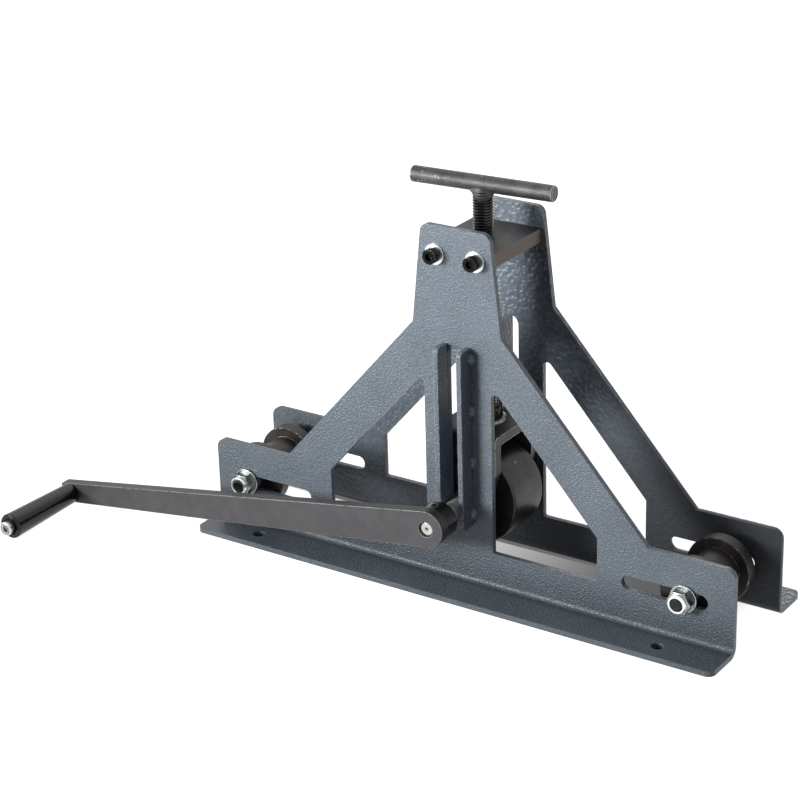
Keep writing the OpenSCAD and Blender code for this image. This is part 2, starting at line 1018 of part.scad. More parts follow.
// Self-locking nut: a hexagon with a round collar over its nylon ring
module axle_nut() {
    front_y = -(axle_washer_y + axle_nut_h + axle_nut_ring_h);
    ring_y0 = front_y + axle_nut_ring_h;
    color(zinc)
        translate([0, 0, axle_z])
            difference() {
                union() {
                    turned_hex_y(
                        axle_nut_af, ring_y0, -axle_washer_y, axle_hex_chamfer,
                        axle_hex_chamfer
                    );
                    chamfered_bar_y(
                        axle_nut_ring_d, front_y, ring_y0 + overrun, axle_end_chamfer, 0
                    );
                }
                bar_y(axle_d + 2 * press_gap, front_y - overrun, 0);
            }
}

module axle_washers() {
    color(zinc)
        translate([0, 0, axle_z])
            for (side = [0, 1])
                mirror([0, side, 0])
                    ring_y(
                        axle_washer_d, axle_d + 2 * axle_washer_gap, -axle_washer_y, -axle_face_y
                    );
}

// Two spacer tubes, which hold the roller at its place along the axle
module axle_spacers(roller_y) {
    reach = roller_half_w + roller_side_gap;
    end_y = plate_in_y - face_gap;
    color(bare_steel)
        translate([0, 0, axle_z])
            for (stretch = [[-end_y, roller_y - reach], [roller_y + reach, end_y]])
                ring_y(spacer_d, axle_d + 2 * axle_washer_gap, stretch[0], stretch[1]);
}

// Flanged roller: two thick flanges and a plain core, which carries the tube
module side_roller(roller_y) {
    r = roller_d / 2;
    c = roller_chamfer;
    core = roller_core_d / 2;
    bore = roller_bush_d / 2 + press_gap;
    inner = roller_half_w - roller_flange_t;
    color(dark_steel)
        translate([0, roller_y, axle_z])
            rotate([90, 0, 0])
                rotate_extrude()
                    polygon([
                        [bore, -roller_half_w], [r - c, -roller_half_w],
                        [r, -roller_half_w + c], [r, -inner - c / 2], [r - c / 2, -inner],
                        [core, -inner], [core, inner],
                        [r - c / 2, inner], [r, inner + c / 2], [r, roller_half_w - c],
                        [r - c, roller_half_w], [bore, roller_half_w]
                    ]);
}

module roller_bush(roller_y) {
    color(bronze)
        translate([0, roller_y, axle_z])
            ring_y(
                roller_bush_d, axle_d + 2 * running_fit, -roller_half_w, roller_half_w
            );
}

module at_left() {
    translate([left_axle_x, 0, 0])
        children();
}

module at_right() {
    translate([right_axle_x, 0, 0])
        children();
}

front_plate();
rear_plate();
front_guide_left();
front_guide_right();
rear_guide_left();
rear_guide_right();
front_guide_welds();
rear_guide_welds();
cross_plate();
cap_screws();
cap_washers();
yoke();
thrust_boss();
boss_weld();
yoke_bush_front();
yoke_bush_rear();
lead_screw();
tee_bar();
tee_weld();
thrust_washer();
screw_collar();
collar_pin();
drive_shaft();
driven_roller();
roller_key();
shaft_collar();
collar_grub();
crank_hub();
hub_grub();
crank_arm();
grip_bolt();
crank_grip();
at_left() axle_bolt();  // left_axle_bolt
at_left() axle_nut();  // left_axle_nut
at_left() axle_washers();  // left_axle_washers
at_left() axle_spacers(left_roller_y);  // left_axle_spacers
at_left() side_roller(left_roller_y);  // left_roller
at_left() roller_bush(left_roller_y);  // left_roller_bush
at_right() axle_bolt();  // right_axle_bolt
at_right() axle_nut();  // right_axle_nut
at_right() axle_washers();  // right_axle_washers
at_right() axle_spacers(right_roller_y);  // right_axle_spacers
at_right() side_roller(right_roller_y);  // right_roller
at_right() roller_bush(right_roller_y);  // right_roller_bush
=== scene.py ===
# %% [markdown]
# # A hand-cranked tube roller bender
# Two bent side plates carry a pair of flanged side rollers. Between them a yoke with a driven
# roller is pushed down by a screw with a T-bar, and a long crank turns that roller. The exact
# solids come from a CAD program. This lesson gives them what a camera sees on the real machine:
# edges that catch the light, a cut thread, weld beads, knurled screws, and a finish for each
# metal. Every length below is in millimetres times MM, because Blender counts in metres. The
# outer faces of the two side plates lie at plus and minus `plate_face` on Y.

# %% Load the CAD solids
import json
import math

import bmesh
import bpy
from mathutils import Matrix, Vector

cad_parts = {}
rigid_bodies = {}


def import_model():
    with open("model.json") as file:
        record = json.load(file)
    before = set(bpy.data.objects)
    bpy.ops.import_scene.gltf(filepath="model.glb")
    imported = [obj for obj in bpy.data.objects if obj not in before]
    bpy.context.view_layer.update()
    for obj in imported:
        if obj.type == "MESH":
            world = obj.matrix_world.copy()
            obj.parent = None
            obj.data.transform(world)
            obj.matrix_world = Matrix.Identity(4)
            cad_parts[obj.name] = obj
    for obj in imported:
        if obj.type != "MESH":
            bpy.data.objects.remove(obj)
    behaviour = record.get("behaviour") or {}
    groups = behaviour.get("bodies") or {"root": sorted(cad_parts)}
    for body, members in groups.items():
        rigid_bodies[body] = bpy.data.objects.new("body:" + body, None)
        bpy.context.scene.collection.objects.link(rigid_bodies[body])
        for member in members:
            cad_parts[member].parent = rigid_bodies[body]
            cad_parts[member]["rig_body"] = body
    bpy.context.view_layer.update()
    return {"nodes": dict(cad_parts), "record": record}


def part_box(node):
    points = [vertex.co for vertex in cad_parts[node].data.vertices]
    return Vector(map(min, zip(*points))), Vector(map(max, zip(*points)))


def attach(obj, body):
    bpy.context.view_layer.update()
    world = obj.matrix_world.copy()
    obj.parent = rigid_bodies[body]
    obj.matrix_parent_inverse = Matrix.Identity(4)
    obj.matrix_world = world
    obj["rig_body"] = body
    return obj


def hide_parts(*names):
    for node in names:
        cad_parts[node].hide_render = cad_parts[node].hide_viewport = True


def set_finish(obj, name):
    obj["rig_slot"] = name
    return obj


MM = 0.001
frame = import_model()
slot_of = {part["node"]: part["material_slot"] for part in frame["record"]["subparts"]}
scene = bpy.context.scene
plate_face = 44.5 * MM

# %% [markdown]
# ## The camera
# The picture was taken from the front right, a little above the machine, with a long lens. A
# camera could be aimed by eye, but here its place and its three turns were worked out from the
# corners of the side plates, whose sizes are known. The slight roll of one and a half degrees is
# part of that fit. A lens of 109 mm keeps the far end nearly as large as the near end.

# %% Place the camera
camera_data = bpy.data.cameras.new("studio_camera")
camera_data.lens = 108.84
camera_data.sensor_width = 36
camera_data.clip_start = 0.1
camera_data.clip_end = 60
camera = bpy.data.objects.new("studio_camera", camera_data)
camera.location = (1.01179, -1.60313, 0.96154)
camera.rotation_euler = [math.radians(turn) for turn in (66.985, 1.538, 33.815)]
scene.collection.objects.link(camera)
scene.camera = camera
to_machine = camera.location - Vector((0, 0, 0.15))
print(f"camera to the middle of the machine: {to_machine.length:.2f} m")

# %% [markdown]
# ## Small helpers for node trees
# A material is a graph of small steps. Wiring it by hand in the node editor is pleasant, but in a
# script each step needs three lines, so a few helpers do the wiring. `put` adds a node and fills
# its sockets with numbers or links, and `feed` links sockets by name. `calc` is one step of
# arithmetic and `times` the commonest one, `mix` blends two colours, and `span` maps a range of
# values smoothly to another one. `axes` splits a place into X, Y and Z, and `noise` is a cloud
# pattern.

# %% Node helpers
def put(tree, kind, values=None, **settings):
    """Adds a node; a value that is a socket is linked, anything else is typed in."""
    made = tree.nodes.new(kind)
    for key, value in settings.items():
        setattr(made, key, value)
    for key, value in (values or {}).items():
        if isinstance(value, bpy.types.NodeSocket):
            tree.links.new(value, made.inputs[key])
        else:
            made.inputs[key].default_value = value
    return made


def feed(tree, inputs, **links):
    """Wires sockets by name, with _ for a space."""
    for name, socket in links.items():
        tree.links.new(socket, inputs[name.replace("_", " ")])


def calc(tree, operation, a, b=0.0, clamp=False):
    return put(tree, "ShaderNodeMath", {0: a, 1: b}, operation=operation,
               use_clamp=clamp).outputs[0]


def times(tree, a, b):
    return calc(tree, "MULTIPLY", a, b)


def mix(tree, share, a, b):
    return put(tree, "ShaderNodeMix", {0: share, 6: a, 7: b}, data_type="RGBA").outputs[2]


def mix_numbers(tree, share, a, b):
    return put(tree, "ShaderNodeMix", {0: share, 2: a, 3: b}, data_type="FLOAT").outputs[0]


def span(tree, value, low, high, to_low=0.0, to_high=1.0):
    made = put(tree, "ShaderNodeMapRange",
               {"Value": value, "From Min": low, "From Max": high,
                "To Min": to_low, "To Max": to_high}, interpolation_type="SMOOTHSTEP")
    return made.outputs["Result"]


def axes(tree, place):
    return put(tree, "ShaderNodeSeparateXYZ", {0: place}).outputs


def noise(tree, place, scale, detail, roughness=0.5, output="Fac", **settings):
    values = {"Vector": place, "Scale": scale, "Detail": detail, "Roughness": roughness}
    return put(tree, "ShaderNodeTexNoise", values, **settings).outputs[output]


def screen(red, green, blue):
    """A colour as a colour picker shows it, 0 to 255, turned into the linear one nodes use."""
    linear = [((c / 255 + 0.055) / 1.055) ** 2.4 if c > 10 else c / 255 / 12.92
              for c in (red, green, blue)]
    return (*linear, 1.0)


# %% [markdown]
# ## The studio
# The machine stands on a white sweep. The floor and the world are plain white to the camera and
# to reflections, so polished metal shows white surroundings. To the soft light that bounces about
# they are much darker, because in the picture the inside of the machine stays nearly black.
# Light Path tells the two kinds of ray apart. The floor keeps the machine's soft shadow. Between
# the side plates less studio light arrives the further right one looks, and a mask on the floor
# paints that shade. Right under the bends the floor gets painted shade too, and a painted dark
# spot lies under each of the four base holes. Folding the floor at its middle, with Absolute, lets
# one spot serve all four.

# %% White for the camera, dark for bounced light
def seen_directly(tree):
    """1 for camera, mirror and glass rays, 0 for the soft bounces."""
    path = put(tree, "ShaderNodeLightPath")
    mirrored = calc(tree, "MAXIMUM", path.outputs["Is Camera Ray"],
                    path.outputs["Is Glossy Ray"])
    return calc(tree, "MAXIMUM", mirrored, path.outputs["Is Transmission Ray"])


world = bpy.data.worlds.new("white_studio")
scene.world = world
world.use_nodes = True
sky = world.node_tree
sky.nodes.clear()
white_share = seen_directly(sky)
soft_sky, white = (0.12, 0.125, 0.135, 1), (1, 1, 1, 1)
backdrop_colour = mix(sky, white_share, soft_sky, white)
sky_light = put(sky, "ShaderNodeBackground", {"Color": backdrop_colour, "Strength": 1.0})
put(sky, "ShaderNodeOutputWorld", {"Surface": sky_light.outputs[0]})

bpy.ops.object.select_all(action="DESELECT")
bpy.ops.mesh.primitive_plane_add(size=24, location=(0, 0, -0.3 * MM))
floor = bpy.context.object
floor.name = "studio_floor"
floor_paint = bpy.data.materials.new("white_sweep")
floor_paint.use_nodes = True
tree = floor_paint.node_tree
tree.nodes.clear()
on_floor = axes(tree, put(tree, "ShaderNodeTexCoord").outputs["Object"])
folded_y = calc(tree, "ABSOLUTE", on_floor["Y"])
between_plates = span(tree, folded_y, 45 * MM, 55 * MM, 1.0, 0.0)
deeper_in = span(tree, on_floor["X"], -190 * MM, 145 * MM, 0.0, 0.88)
before_end = span(tree, on_floor["X"], 190 * MM, 235 * MM, 1.0, 0.0)
shelter = times(tree, between_plates, times(tree, deeper_in, before_end))
folded = put(tree, "ShaderNodeCombineXYZ",
             {"X": calc(tree, "ABSOLUTE", on_floor["X"]), "Y": folded_y}).outputs[0]
hole_x, hole_y, spot_r = 202 * MM, 65 * MM, 7 * MM
to_hole = put(tree, "ShaderNodeVectorMath", {0: folded, 1: (hole_x, hole_y, 0)},
              operation="DISTANCE").outputs["Value"]
beside_hole = span(tree, to_hole, spot_r - 0.5 * MM, spot_r + 0.5 * MM)
under_bend = times(tree, span(tree, folded_y, 37 * MM, 42 * MM, 0.0, 0.85),
                   span(tree, folded_y, 72 * MM, 78 * MM, 1.0, 0.0))
left_end = span(tree, on_floor["X"], -258 * MM, -252 * MM)
under_bend = times(tree, under_bend, times(tree, left_end, before_end))
shelter = calc(tree, "MAXIMUM", shelter, under_bend)
open_sky = times(tree, beside_hole, calc(tree, "SUBTRACT", 1.0, shelter))
direct = seen_directly(tree)
floor_grey, floor_glow, soft_floor = 0.9, 0.95, (0.14, 0.14, 0.15, 1)
floor_white = put(tree, "ShaderNodeCombineColor", {
    channel: times(tree, open_sky, floor_grey) for channel in range(3)}).outputs[0]
shade = put(tree, "ShaderNodeBsdfDiffuse", {"Color": mix(tree, direct, soft_floor, floor_white)})
glow = put(tree, "ShaderNodeEmission", {
    "Color": white, "Strength": times(tree, times(tree, direct, open_sky), floor_glow)})
both = put(tree, "ShaderNodeAddShader", {0: shade.outputs[0], 1: glow.outputs[0]})
put(tree, "ShaderNodeOutputMaterial", {"Surface": both.outputs[0]})
floor.data.materials.append(floor_paint)
scene.view_settings.view_transform = "Standard"

# %% [markdown]
# ## Three soft lamps
# The picture has one large soft light low on the left front. It grazes the front plates, so their
# coat shows its texture, and leaves the right-hand sides of all pieces dark. The tower is bright
# and the foot and the right end of the plates dim: the lamp is aimed above the tower and left of
# it, and its spread is narrowed, as the grid on a softbox does. A weak strip behind and above
# separates the tops from the sides, and a low lamp behind shows the back to whoever walks round
# the machine. Area lamps are used, because only a lamp with a size gives soft shadows.

# %% Hang the lamps
def hang_lamp(name, place, aim, wide, high, watts, spread=180):
    """A rectangular lamp, with places and sizes in metres and its spread in degrees."""
    lamp = bpy.data.lights.new(name, "AREA")
    lamp.shape = "RECTANGLE"
    lamp.size, lamp.size_y = wide, high
    lamp.energy = watts
    lamp.spread = math.radians(spread)
    stand = bpy.data.objects.new(name, lamp)
    stand.location = place
    stand.rotation_euler = (Vector(aim) - Vector(place)).to_track_quat("-Z", "Y").to_euler()
    scene.collection.objects.link(stand)


hang_lamp("key_softbox", (-1.52, -1.86, 0.95), (-0.32, -0.04, 0.64), 1.6, 1.1, 9.35, spread=37)
hang_lamp("rim_strip", (-0.4, 1.1, 1.2), (0, 0, 0.2), 1.4, 0.4, 1.5)
hang_lamp("back_fill", (-0.5, 2.2, 0.4), (0, 0, 0.15), 1.4, 0.8, 6.0)

# %% [markdown]
# ## Picking what to edit
# An operator works on everything that is selected, and the loaded solids start out selected. So
# each step first deselects, then picks faces, edges or points by a test on their place or
# direction, as a hand would click them. Each new piece starts with one of Blender's primitives,
# and what repeats is modelled once, copied to its places and joined.

# %% Selection helpers
def only(piece):
    """Makes one object the only selected and the active one, in object mode."""
    if bpy.context.mode != "OBJECT":
        bpy.ops.object.mode_set(mode="OBJECT")
    bpy.ops.object.select_all(action="DESELECT")
    piece.select_set(True)
    bpy.context.view_layer.objects.active = piece
    return piece


def edit(piece, kind="FACE"):
    only(piece)
    bpy.ops.object.mode_set(mode="EDIT")
    bpy.ops.mesh.select_mode(type=kind)


def pick(piece, test, kind="FACE"):
    """Selects, in edit mode, the faces, edges or points whose test is true; returns how many."""
    bpy.ops.mesh.select_mode(type=kind)
    bpy.ops.mesh.select_all(action="DESELECT")
    mesh = bmesh.from_edit_mesh(piece.data)
    parts = {"FACE": mesh.faces, "EDGE": mesh.edges, "VERT": mesh.verts}[kind]
    chosen = [part for part in parts if test(part)]
    for part in chosen:
        part.select_set(True)
    mesh.select_flush_mode()
    bmesh.update_edit_mesh(piece.data)
    return len(chosen)


def bake_modifier(piece, kind, **settings):
    """Adds a modifier with these settings and applies it."""
    only(piece)
    made = piece.modifiers.new(kind.title(), kind)
    for key, value in settings.items():
        setattr(made, key, value)
    bpy.ops.object.modifier_apply(modifier=made.name)


def start_with(add, name, **settings):
    """Adds a primitive and puts its place into its mesh, so that its object is at the origin."""
    bpy.ops.object.select_all(action="DESELECT")
    add(**settings)
    piece = only(bpy.context.object)
    piece.name = piece.data.name = name
    bpy.ops.object.transform_apply(location=True, rotation=True, scale=True)
    return piece


def copy_and_join(model, places, name):
    """Copies a model to each place, each copy with its own mesh, and joins the copies."""
    copies = [bpy.data.objects.new(name, model.data.copy()) for place in places]
    for copy, place in zip(copies, places):
        copy.data.transform(place)
        scene.collection.objects.link(copy)
    only(model)
    bpy.ops.object.delete()
    only(copies[0])
    for copy in copies:
        copy.select_set(True)
    bpy.ops.object.join()
    joined = bpy.context.object
    joined.name = joined.data.name = name
    return joined


def on_level(height):
    """A test for edges that lie at one height."""
    return lambda edge: all(abs(v.co.z - height) < 0.01 * MM for v in edge.verts)


def outwards(piece):
    """Closes doubled points and turns all faces outwards."""
    edit(piece)
    bpy.ops.mesh.select_all(action="SELECT")
    bpy.ops.mesh.remove_doubles(threshold=0.002 * MM)
    bpy.ops.mesh.normals_make_consistent(inside=False)
    bpy.ops.object.mode_set(mode="OBJECT")


# %% [markdown]
# ## Soft edges on the CAD solids
# CAD edges are perfectly sharp, so they never show the thin bright line that a real edge has. A
# solid's shape is right, but it is made of loose triangles. So a copy is merged into a proper
# mesh, its flat areas are joined into single faces, and a Bevel modifier rounds each edge that
# turns by more than 30 degrees. The bevel's faces are marked in an attribute called `rim`, and
# the finishes read it to bare the steel along worn edges. The copy then stands in for the solid.

# %% The soft-edge recipe
pieces = {}


def stand_in(piece, node):
    """The piece rides where this CAD node rides, and is shown in its place."""
    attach(piece, frame["nodes"][node]["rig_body"])
    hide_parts(node)
    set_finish(piece, slot_of[node])
    pieces[piece.name] = piece


def mark_rim(piece):
    """Turns the bevel's material number into a value on each face, and drops the number."""
    mesh = piece.data
    worn = [float(face.material_index == 1) for face in mesh.polygons]
    mesh.attributes.new("rim", "FLOAT", "FACE").data.foreach_set("value", worn)
    for face in mesh.polygons:
        face.material_index = 0
    mesh.materials.clear()
    return int(sum(worn))


def soften(node, width):
    """Rounds the edges of a copy of a CAD solid, by a width in millimetres."""
    piece = bpy.data.objects.new(node + "_finished", frame["nodes"][node].data.copy())
    piece.data.name = piece.name
    scene.collection.objects.link(piece)
    edit(piece)
    bpy.ops.mesh.select_all(action="SELECT")
    bpy.ops.mesh.remove_doubles(threshold=0.001 * MM)
    bpy.ops.mesh.dissolve_limited(angle_limit=math.radians(0.3))
    bpy.ops.object.mode_set(mode="OBJECT")
    piece.data.materials.clear()
    for part in ("body", "rim"):
        piece.data.materials.append(bpy.data.materials.get(part) or bpy.data.materials.new(part))
    for face in piece.data.polygons:
        face.material_index = 0
    bake_modifier(piece, "BEVEL", width=width * MM, segments=3, limit_method="ANGLE",
                  angle_limit=math.radians(30), loop_slide=False, material=1)
    rims = mark_rim(piece)
    bpy.ops.object.shade_smooth_by_angle(angle=math.radians(42))
    bake_modifier(piece, "WEIGHTED_NORMAL", keep_sharp=True, weight=60)
    stand_in(piece, node)
    print(f"{node}: {len(piece.data.polygons)} faces, {rims} on its rims")


# %% [markdown]
# ## Sheet, bars and castings
# The side plates are punched from 5 mm sheet and powder coated, and the coat rounds their edges
# to about 0.7 mm. The guide bars are cut from flat bar. The cross plate and the yoke are bare
# hot-rolled steel with tighter edges. The crank arm is ground along its edges.

# %% Soften the plates, the bars, the yoke and the crank
for node, width in (("front_plate", 0.7), ("rear_plate", 0.7),
                    ("front_guide_left", 0.9), ("front_guide_right", 0.9),
                    ("rear_guide_left", 0.9), ("rear_guide_right", 0.9),
                    ("cross_plate", 0.45), ("yoke", 0.6), ("crank_arm", 0.55),
                    ("thrust_boss", 0.5)):
    soften(node, width)

# %% [markdown]
# ## Turned parts
# Shafts, rollers, washers and the grip come off a lathe. Their edges are broken with a file or a
# small tool, so they get narrow bevels. The side rollers have worn rims, which their finish will
# bare.

# %% Soften the turned parts
for node, width in (("driven_roller", 0.5), ("drive_shaft", 0.3), ("crank_hub", 0.6),
                    ("shaft_collar", 0.5), ("crank_grip", 0.8), ("grip_bolt", 0.35),
                    ("left_roller", 0.7), ("right_roller", 0.7),
                    ("tee_bar", 0.4), ("cap_washers", 0.25), ("thrust_washer", 0.2),
                    ("screw_collar", 0.4), ("yoke_bush_front", 0.2), ("yoke_bush_rear", 0.2)):
    soften(node, width)
for side in ("left", "right"):
    for part, width in (("nut", 0.35), ("washers", 0.3), ("bolt", 0.4), ("spacers", 0.3)):
        soften(f"{side}_axle_{part}", width)

# %% [markdown]
# ## The lead screw
# The screw is an 18 mm bar with a 2.5 mm thread, and the thread is what one sees under the T-bar.
# A picture of grooves would do from afar, but its outline would stay straight, so the thread is
# real here. One tooth's outline is drawn point by point with the extrude tool, and the Screw
# modifier sweeps it round the axis and upwards, one pitch a turn. Both ends are cut flat with
# Bisect, which also closes them. The crests are rounded, because a rolled thread has no edges.

# %% Draw a tooth and sweep it into a thread
def draw_line(name, points):
    """A wire drawn as by hand: one point, then extruded from place to place."""
    piece = start_with(bpy.ops.mesh.primitive_plane_add, name, size=MM, location=points[0])
    edit(piece, "VERT")
    bpy.ops.mesh.select_all(action="SELECT")
    bpy.ops.mesh.merge(type="CENTER")
    for start, end in zip(points, points[1:]):
        step = Vector(end) - Vector(start)
        bpy.ops.mesh.extrude_region_move(TRANSFORM_OT_translate={"value": step})
    bpy.ops.object.mode_set(mode="OBJECT")
    return piece


pitch = 2.5 * MM
screw_low, screw_top = (corner.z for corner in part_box("lead_screw"))
thread_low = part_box("thrust_washer")[1].z
crest_r, root_r = 9 * MM, 7.55 * MM
turns = math.ceil((screw_top - thread_low) / pitch) + 3
first_z = thread_low - 1.5 * pitch
tooth = [(root_r, 0.00), (root_r, 0.10), (crest_r - 0.34 * MM, 0.36), (crest_r - 0.08 * MM, 0.43),
         (crest_r, 0.50), (crest_r - 0.08 * MM, 0.57), (crest_r - 0.34 * MM, 0.64),
         (root_r, 0.90), (root_r, 1.00)]
screw = draw_line("lead_screw_thread", [(r, 0, first_z + share * pitch) for r, share in tooth])
bake_modifier(screw, "SCREW", axis="Z", screw_offset=pitch, iterations=turns, steps=32,
              render_steps=32, use_merge_vertices=True, merge_threshold=0.001 * MM)
edit(screw)
for height, lower in ((thread_low, True), (screw_top, False)):
    bpy.ops.mesh.select_all(action="SELECT")
    bpy.ops.mesh.bisect(plane_co=(0, 0, height), plane_no=(0, 0, 1), use_fill=True,
                        clear_inner=lower, clear_outer=not lower)
bpy.ops.object.mode_set(mode="OBJECT")
outwards(screw)
print("thread:", turns, "turns,", len(screw.data.polygons), "faces")

# %% [markdown]
# ## The screw's lower end
# Below the thread the bar is turned down to a 14 mm journal that runs in the thrust boss, with a
# collar pinned on its end. It is added inside the same mesh as a second cylinder, and the edge at
# its tip is bevelled.

# %% Add the journal
edit(screw)
journal_r, journal_top = 7 * MM, thread_low + 1 * MM
bpy.ops.mesh.select_all(action="DESELECT")
bpy.ops.mesh.primitive_cylinder_add(
    vertices=64, radius=journal_r, depth=journal_top - screw_low,
    location=(0, 0, (journal_top + screw_low) / 2))
pick(screw, on_level(screw_low), "EDGE")
bpy.ops.mesh.bevel(offset=1 * MM, segments=3, affect="EDGES")
bpy.ops.object.mode_set(mode="OBJECT")
bpy.ops.object.shade_smooth_by_angle(angle=math.radians(38))
stand_in(screw, "lead_screw")
print("journal:", round((journal_top - screw_low) / MM, 1), "mm long")

# %% [markdown]
# ## The weld under the T-bar
# The T-bar is welded onto the screw's head. The bead flares out smoothly from the round screw to
# the underside of the round bar, further on one side than on the other. A fillet like this joins
# two different outlines, so it is built as a stack of rings: a disc is extruded ring by ring, and
# each ring is then laid between the screw and the bar. The rings first climb the screw and then
# run out along the bar, which makes the hollow curve of a fillet.

# %% Flare the T-bar's weld
bar_low, bar_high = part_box("tee_bar")
bar_z = (bar_low.z + bar_high.z) / 2
bar_r = (bar_high.z - bar_low.z) / 2
bar_turn = math.radians(4.1)
flare_rings = 10
flare_foot = bar_low.z - 5 * MM
foot_r, half_width, reach_left, reach_right = 8.3 * MM, 6.7 * MM, 15 * MM, 12 * MM
flare = start_with(bpy.ops.mesh.primitive_circle_add, "tee_bar_weld", vertices=64,
                   radius=9 * MM, fill_type="NGON", location=(0, 0, flare_foot))
edit(flare)
bpy.ops.mesh.select_all(action="SELECT")
for ring in range(flare_rings):
    bpy.ops.mesh.extrude_region_move(TRANSFORM_OT_translate={"value": (0, 0, 1 * MM)})
bpy.ops.object.mode_set(mode="OBJECT")
for point in flare.data.vertices:
    share = round((point.co.z - flare_foot) / MM) / flare_rings
    around = math.atan2(point.co.y, point.co.x) - bar_turn
    along, across = math.cos(around), math.sin(around)
    wobble = 1 + 0.06 * math.sin(3 * around + 1) + 0.04 * math.sin(7 * around)
    reach = (reach_left if along < 0 else reach_right) * wobble
    foot = Vector((foot_r * along, foot_r * across,
                   flare_foot + 1.2 * MM * math.sin(2 * around + 0.6)))
    side = half_width * across
    head = Vector((reach * along, side, bar_z - math.sqrt(bar_r ** 2 - side ** 2) + 0.25 * MM))
    run_out, climb = share ** 2.2, 1 - (1 - share) ** 1.7
    place = Vector((foot.x + (head.x - foot.x) * run_out, foot.y + (head.y - foot.y) * run_out,
                    foot.z + (head.z - foot.z) * climb))
    swell = 0.5 * MM * math.sin(math.pi * share)
    place += Vector((along, across, 0)) * swell
    point.co = Matrix.Rotation(bar_turn, 3, "Z") @ place
outwards(flare)
bpy.ops.object.shade_smooth()
stand_in(flare, "tee_weld")
print("weld flare reaches", round(max(v.co.x for v in flare.data.vertices) / MM, 1), "mm")

# %% [markdown]
# ## The bead round the thrust boss
# The boss is welded to the yoke with one bead all round. A welder moves in small steps, and each
# step leaves a coin-like ripple. A torus is added where the boss meets the web, and its points
# are then moved in and out in a slanted wave, so that the ripples lean along the direction of
# travel. Half of the torus is sunk in the two pieces, as a real bead is melted into them.

# %% Roll a rippled bead
boss_low, boss_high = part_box("thrust_boss")
boss_r = (boss_high.x - boss_low.x) / 2
bead_r, half_the_ripples = 3.0 * MM, 15
middle_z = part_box("boss_weld")[0].z + 0.1 * MM
bead = start_with(bpy.ops.mesh.primitive_torus_add, "thrust_boss_weld", major_segments=260,
                  minor_segments=14, major_radius=boss_r + 0.2 * MM, minor_radius=bead_r,
                  location=(0, 0, middle_z))
for point in bead.data.vertices:
    around = math.atan2(point.co.y, point.co.x)
    flat = math.hypot(point.co.x, point.co.y)
    out, up = flat - boss_r, point.co.z - middle_z
    lean = 1.4 * abs(math.sin(math.atan2(up, out)))
    wave = abs(math.sin(around * half_the_ripples + lean))
    stretch = 1 + 0.17 * wave - 0.10 + 0.05 * math.sin(3 * around)
    flat = boss_r + out * stretch
    point.co = (flat * math.cos(around), flat * math.sin(around), middle_z + up * stretch)
only(bead)
bpy.ops.object.shade_smooth()
stand_in(bead, "boss_weld")
print("bead:", 2 * half_the_ripples, "ripples")

# %% [markdown]
# ## Tack welds beside the guide bars
# Each guide bar is held by four short tack welds on its outer side, painted over with the plate.
# One is a flattened ball in the corner. It is modelled once and copied down the bar, each copy
# with its own mesh, and then all are joined and pushed in and out by a cloud pattern. The
# pattern is fixed in space, so no two tacks come out alike. The `rim` value on all their faces
# makes the coat on them thin and light, as on an edge; as the tacks lie in the bar's shadow,
# that light coat also paints light onto them.

# %% Lay the tack welds
lumps = bpy.data.textures.new("weld_lumps", "CLOUDS")
lumps.noise_scale = 1.4 * MM
lumps.noise_depth = 3


def lay_tacks(name, node, outer_y, heights):
    """Eight tacks on one side plate, four beside each of its guide bars."""
    first = start_with(bpy.ops.mesh.primitive_uv_sphere_add, name, segments=44, ring_count=30,
                       radius=4.6 * MM)
    edit(first)
    bpy.ops.mesh.select_all(action="SELECT")
    bpy.ops.transform.resize(value=(0.9, 0.9, 1.15))
    bpy.ops.object.mode_set(mode="OBJECT")
    corner_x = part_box("front_guide_right")[1].x
    tacks = copy_and_join(first, [Matrix.Translation((side * corner_x, outer_y, height))
                                  for side in (-1, 1) for height in heights], name)
    bake_modifier(tacks, "DISPLACE", texture=lumps, texture_coords="LOCAL",
                  strength=3.4 * MM, mid_level=0.6)
    # every tack face counts as a rim: a thin, light coat that also paints light onto tacks in the
    # bar's shadow
    rim_and_painted_light = [1.0] * len(tacks.data.polygons)
    tacks.data.attributes.new("rim", "FLOAT", "FACE").data.foreach_set("value", rim_and_painted_light)
    bpy.ops.object.shade_smooth()
    stand_in(tacks, node)
    print(f"{name}: {len(rim_and_painted_light)} faces")


tack_low, tack_high = (corner.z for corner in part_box("front_guide_welds"))
tack_r = 3.4 * MM
heights = [tack_low + tack_r + step * (tack_high - tack_low - 2 * tack_r) / 3 for step in range(4)]
lay_tacks("front_tack_welds", "front_guide_welds", -plate_face, heights)
lay_tacks("rear_tack_welds", "rear_guide_welds", plate_face, heights)

# %% [markdown]
# ## The cap screws
# Four M8 screws hold the cross plate. Their heads have straight knurling round the side and a
# hexagon socket. A cylinder is the start. Its top rim is bevelled, and every second face round
# the side is pushed in for the knurl. A socket and a shank follow in the next cell. Fingers and
# keys rub the top rim and the crests of the knurl, so these get a `rim` value.

# %% Model one knurled socket screw
head_r, head_h, head_bevel, shank_r, shank_h = 6.5 * MM, 8 * MM, 0.7 * MM, 4 * MM, 25 * MM
head_sides = 72
cap = start_with(bpy.ops.mesh.primitive_cylinder_add, "cap_screw", vertices=head_sides,
                 radius=head_r, depth=head_h, location=(0, 0, head_h / 2))
edit(cap)
pick(cap, on_level(head_h), "EDGE")
bpy.ops.mesh.bevel(offset=head_bevel, segments=3, affect="EDGES")


def is_groove(face):
    """Every second face round the side, counted by the direction that it faces."""
    count = math.degrees(math.atan2(face.normal.y, face.normal.x)) / (360 / head_sides) + 0.5
    return abs(face.normal.z) < 0.1 and round(count) % 2 == 0


print("knurls:", pick(cap, is_groove))
bpy.ops.mesh.inset(thickness=0.07 * MM, depth=-0.28 * MM, use_individual=True)
bpy.ops.object.mode_set(mode="OBJECT")

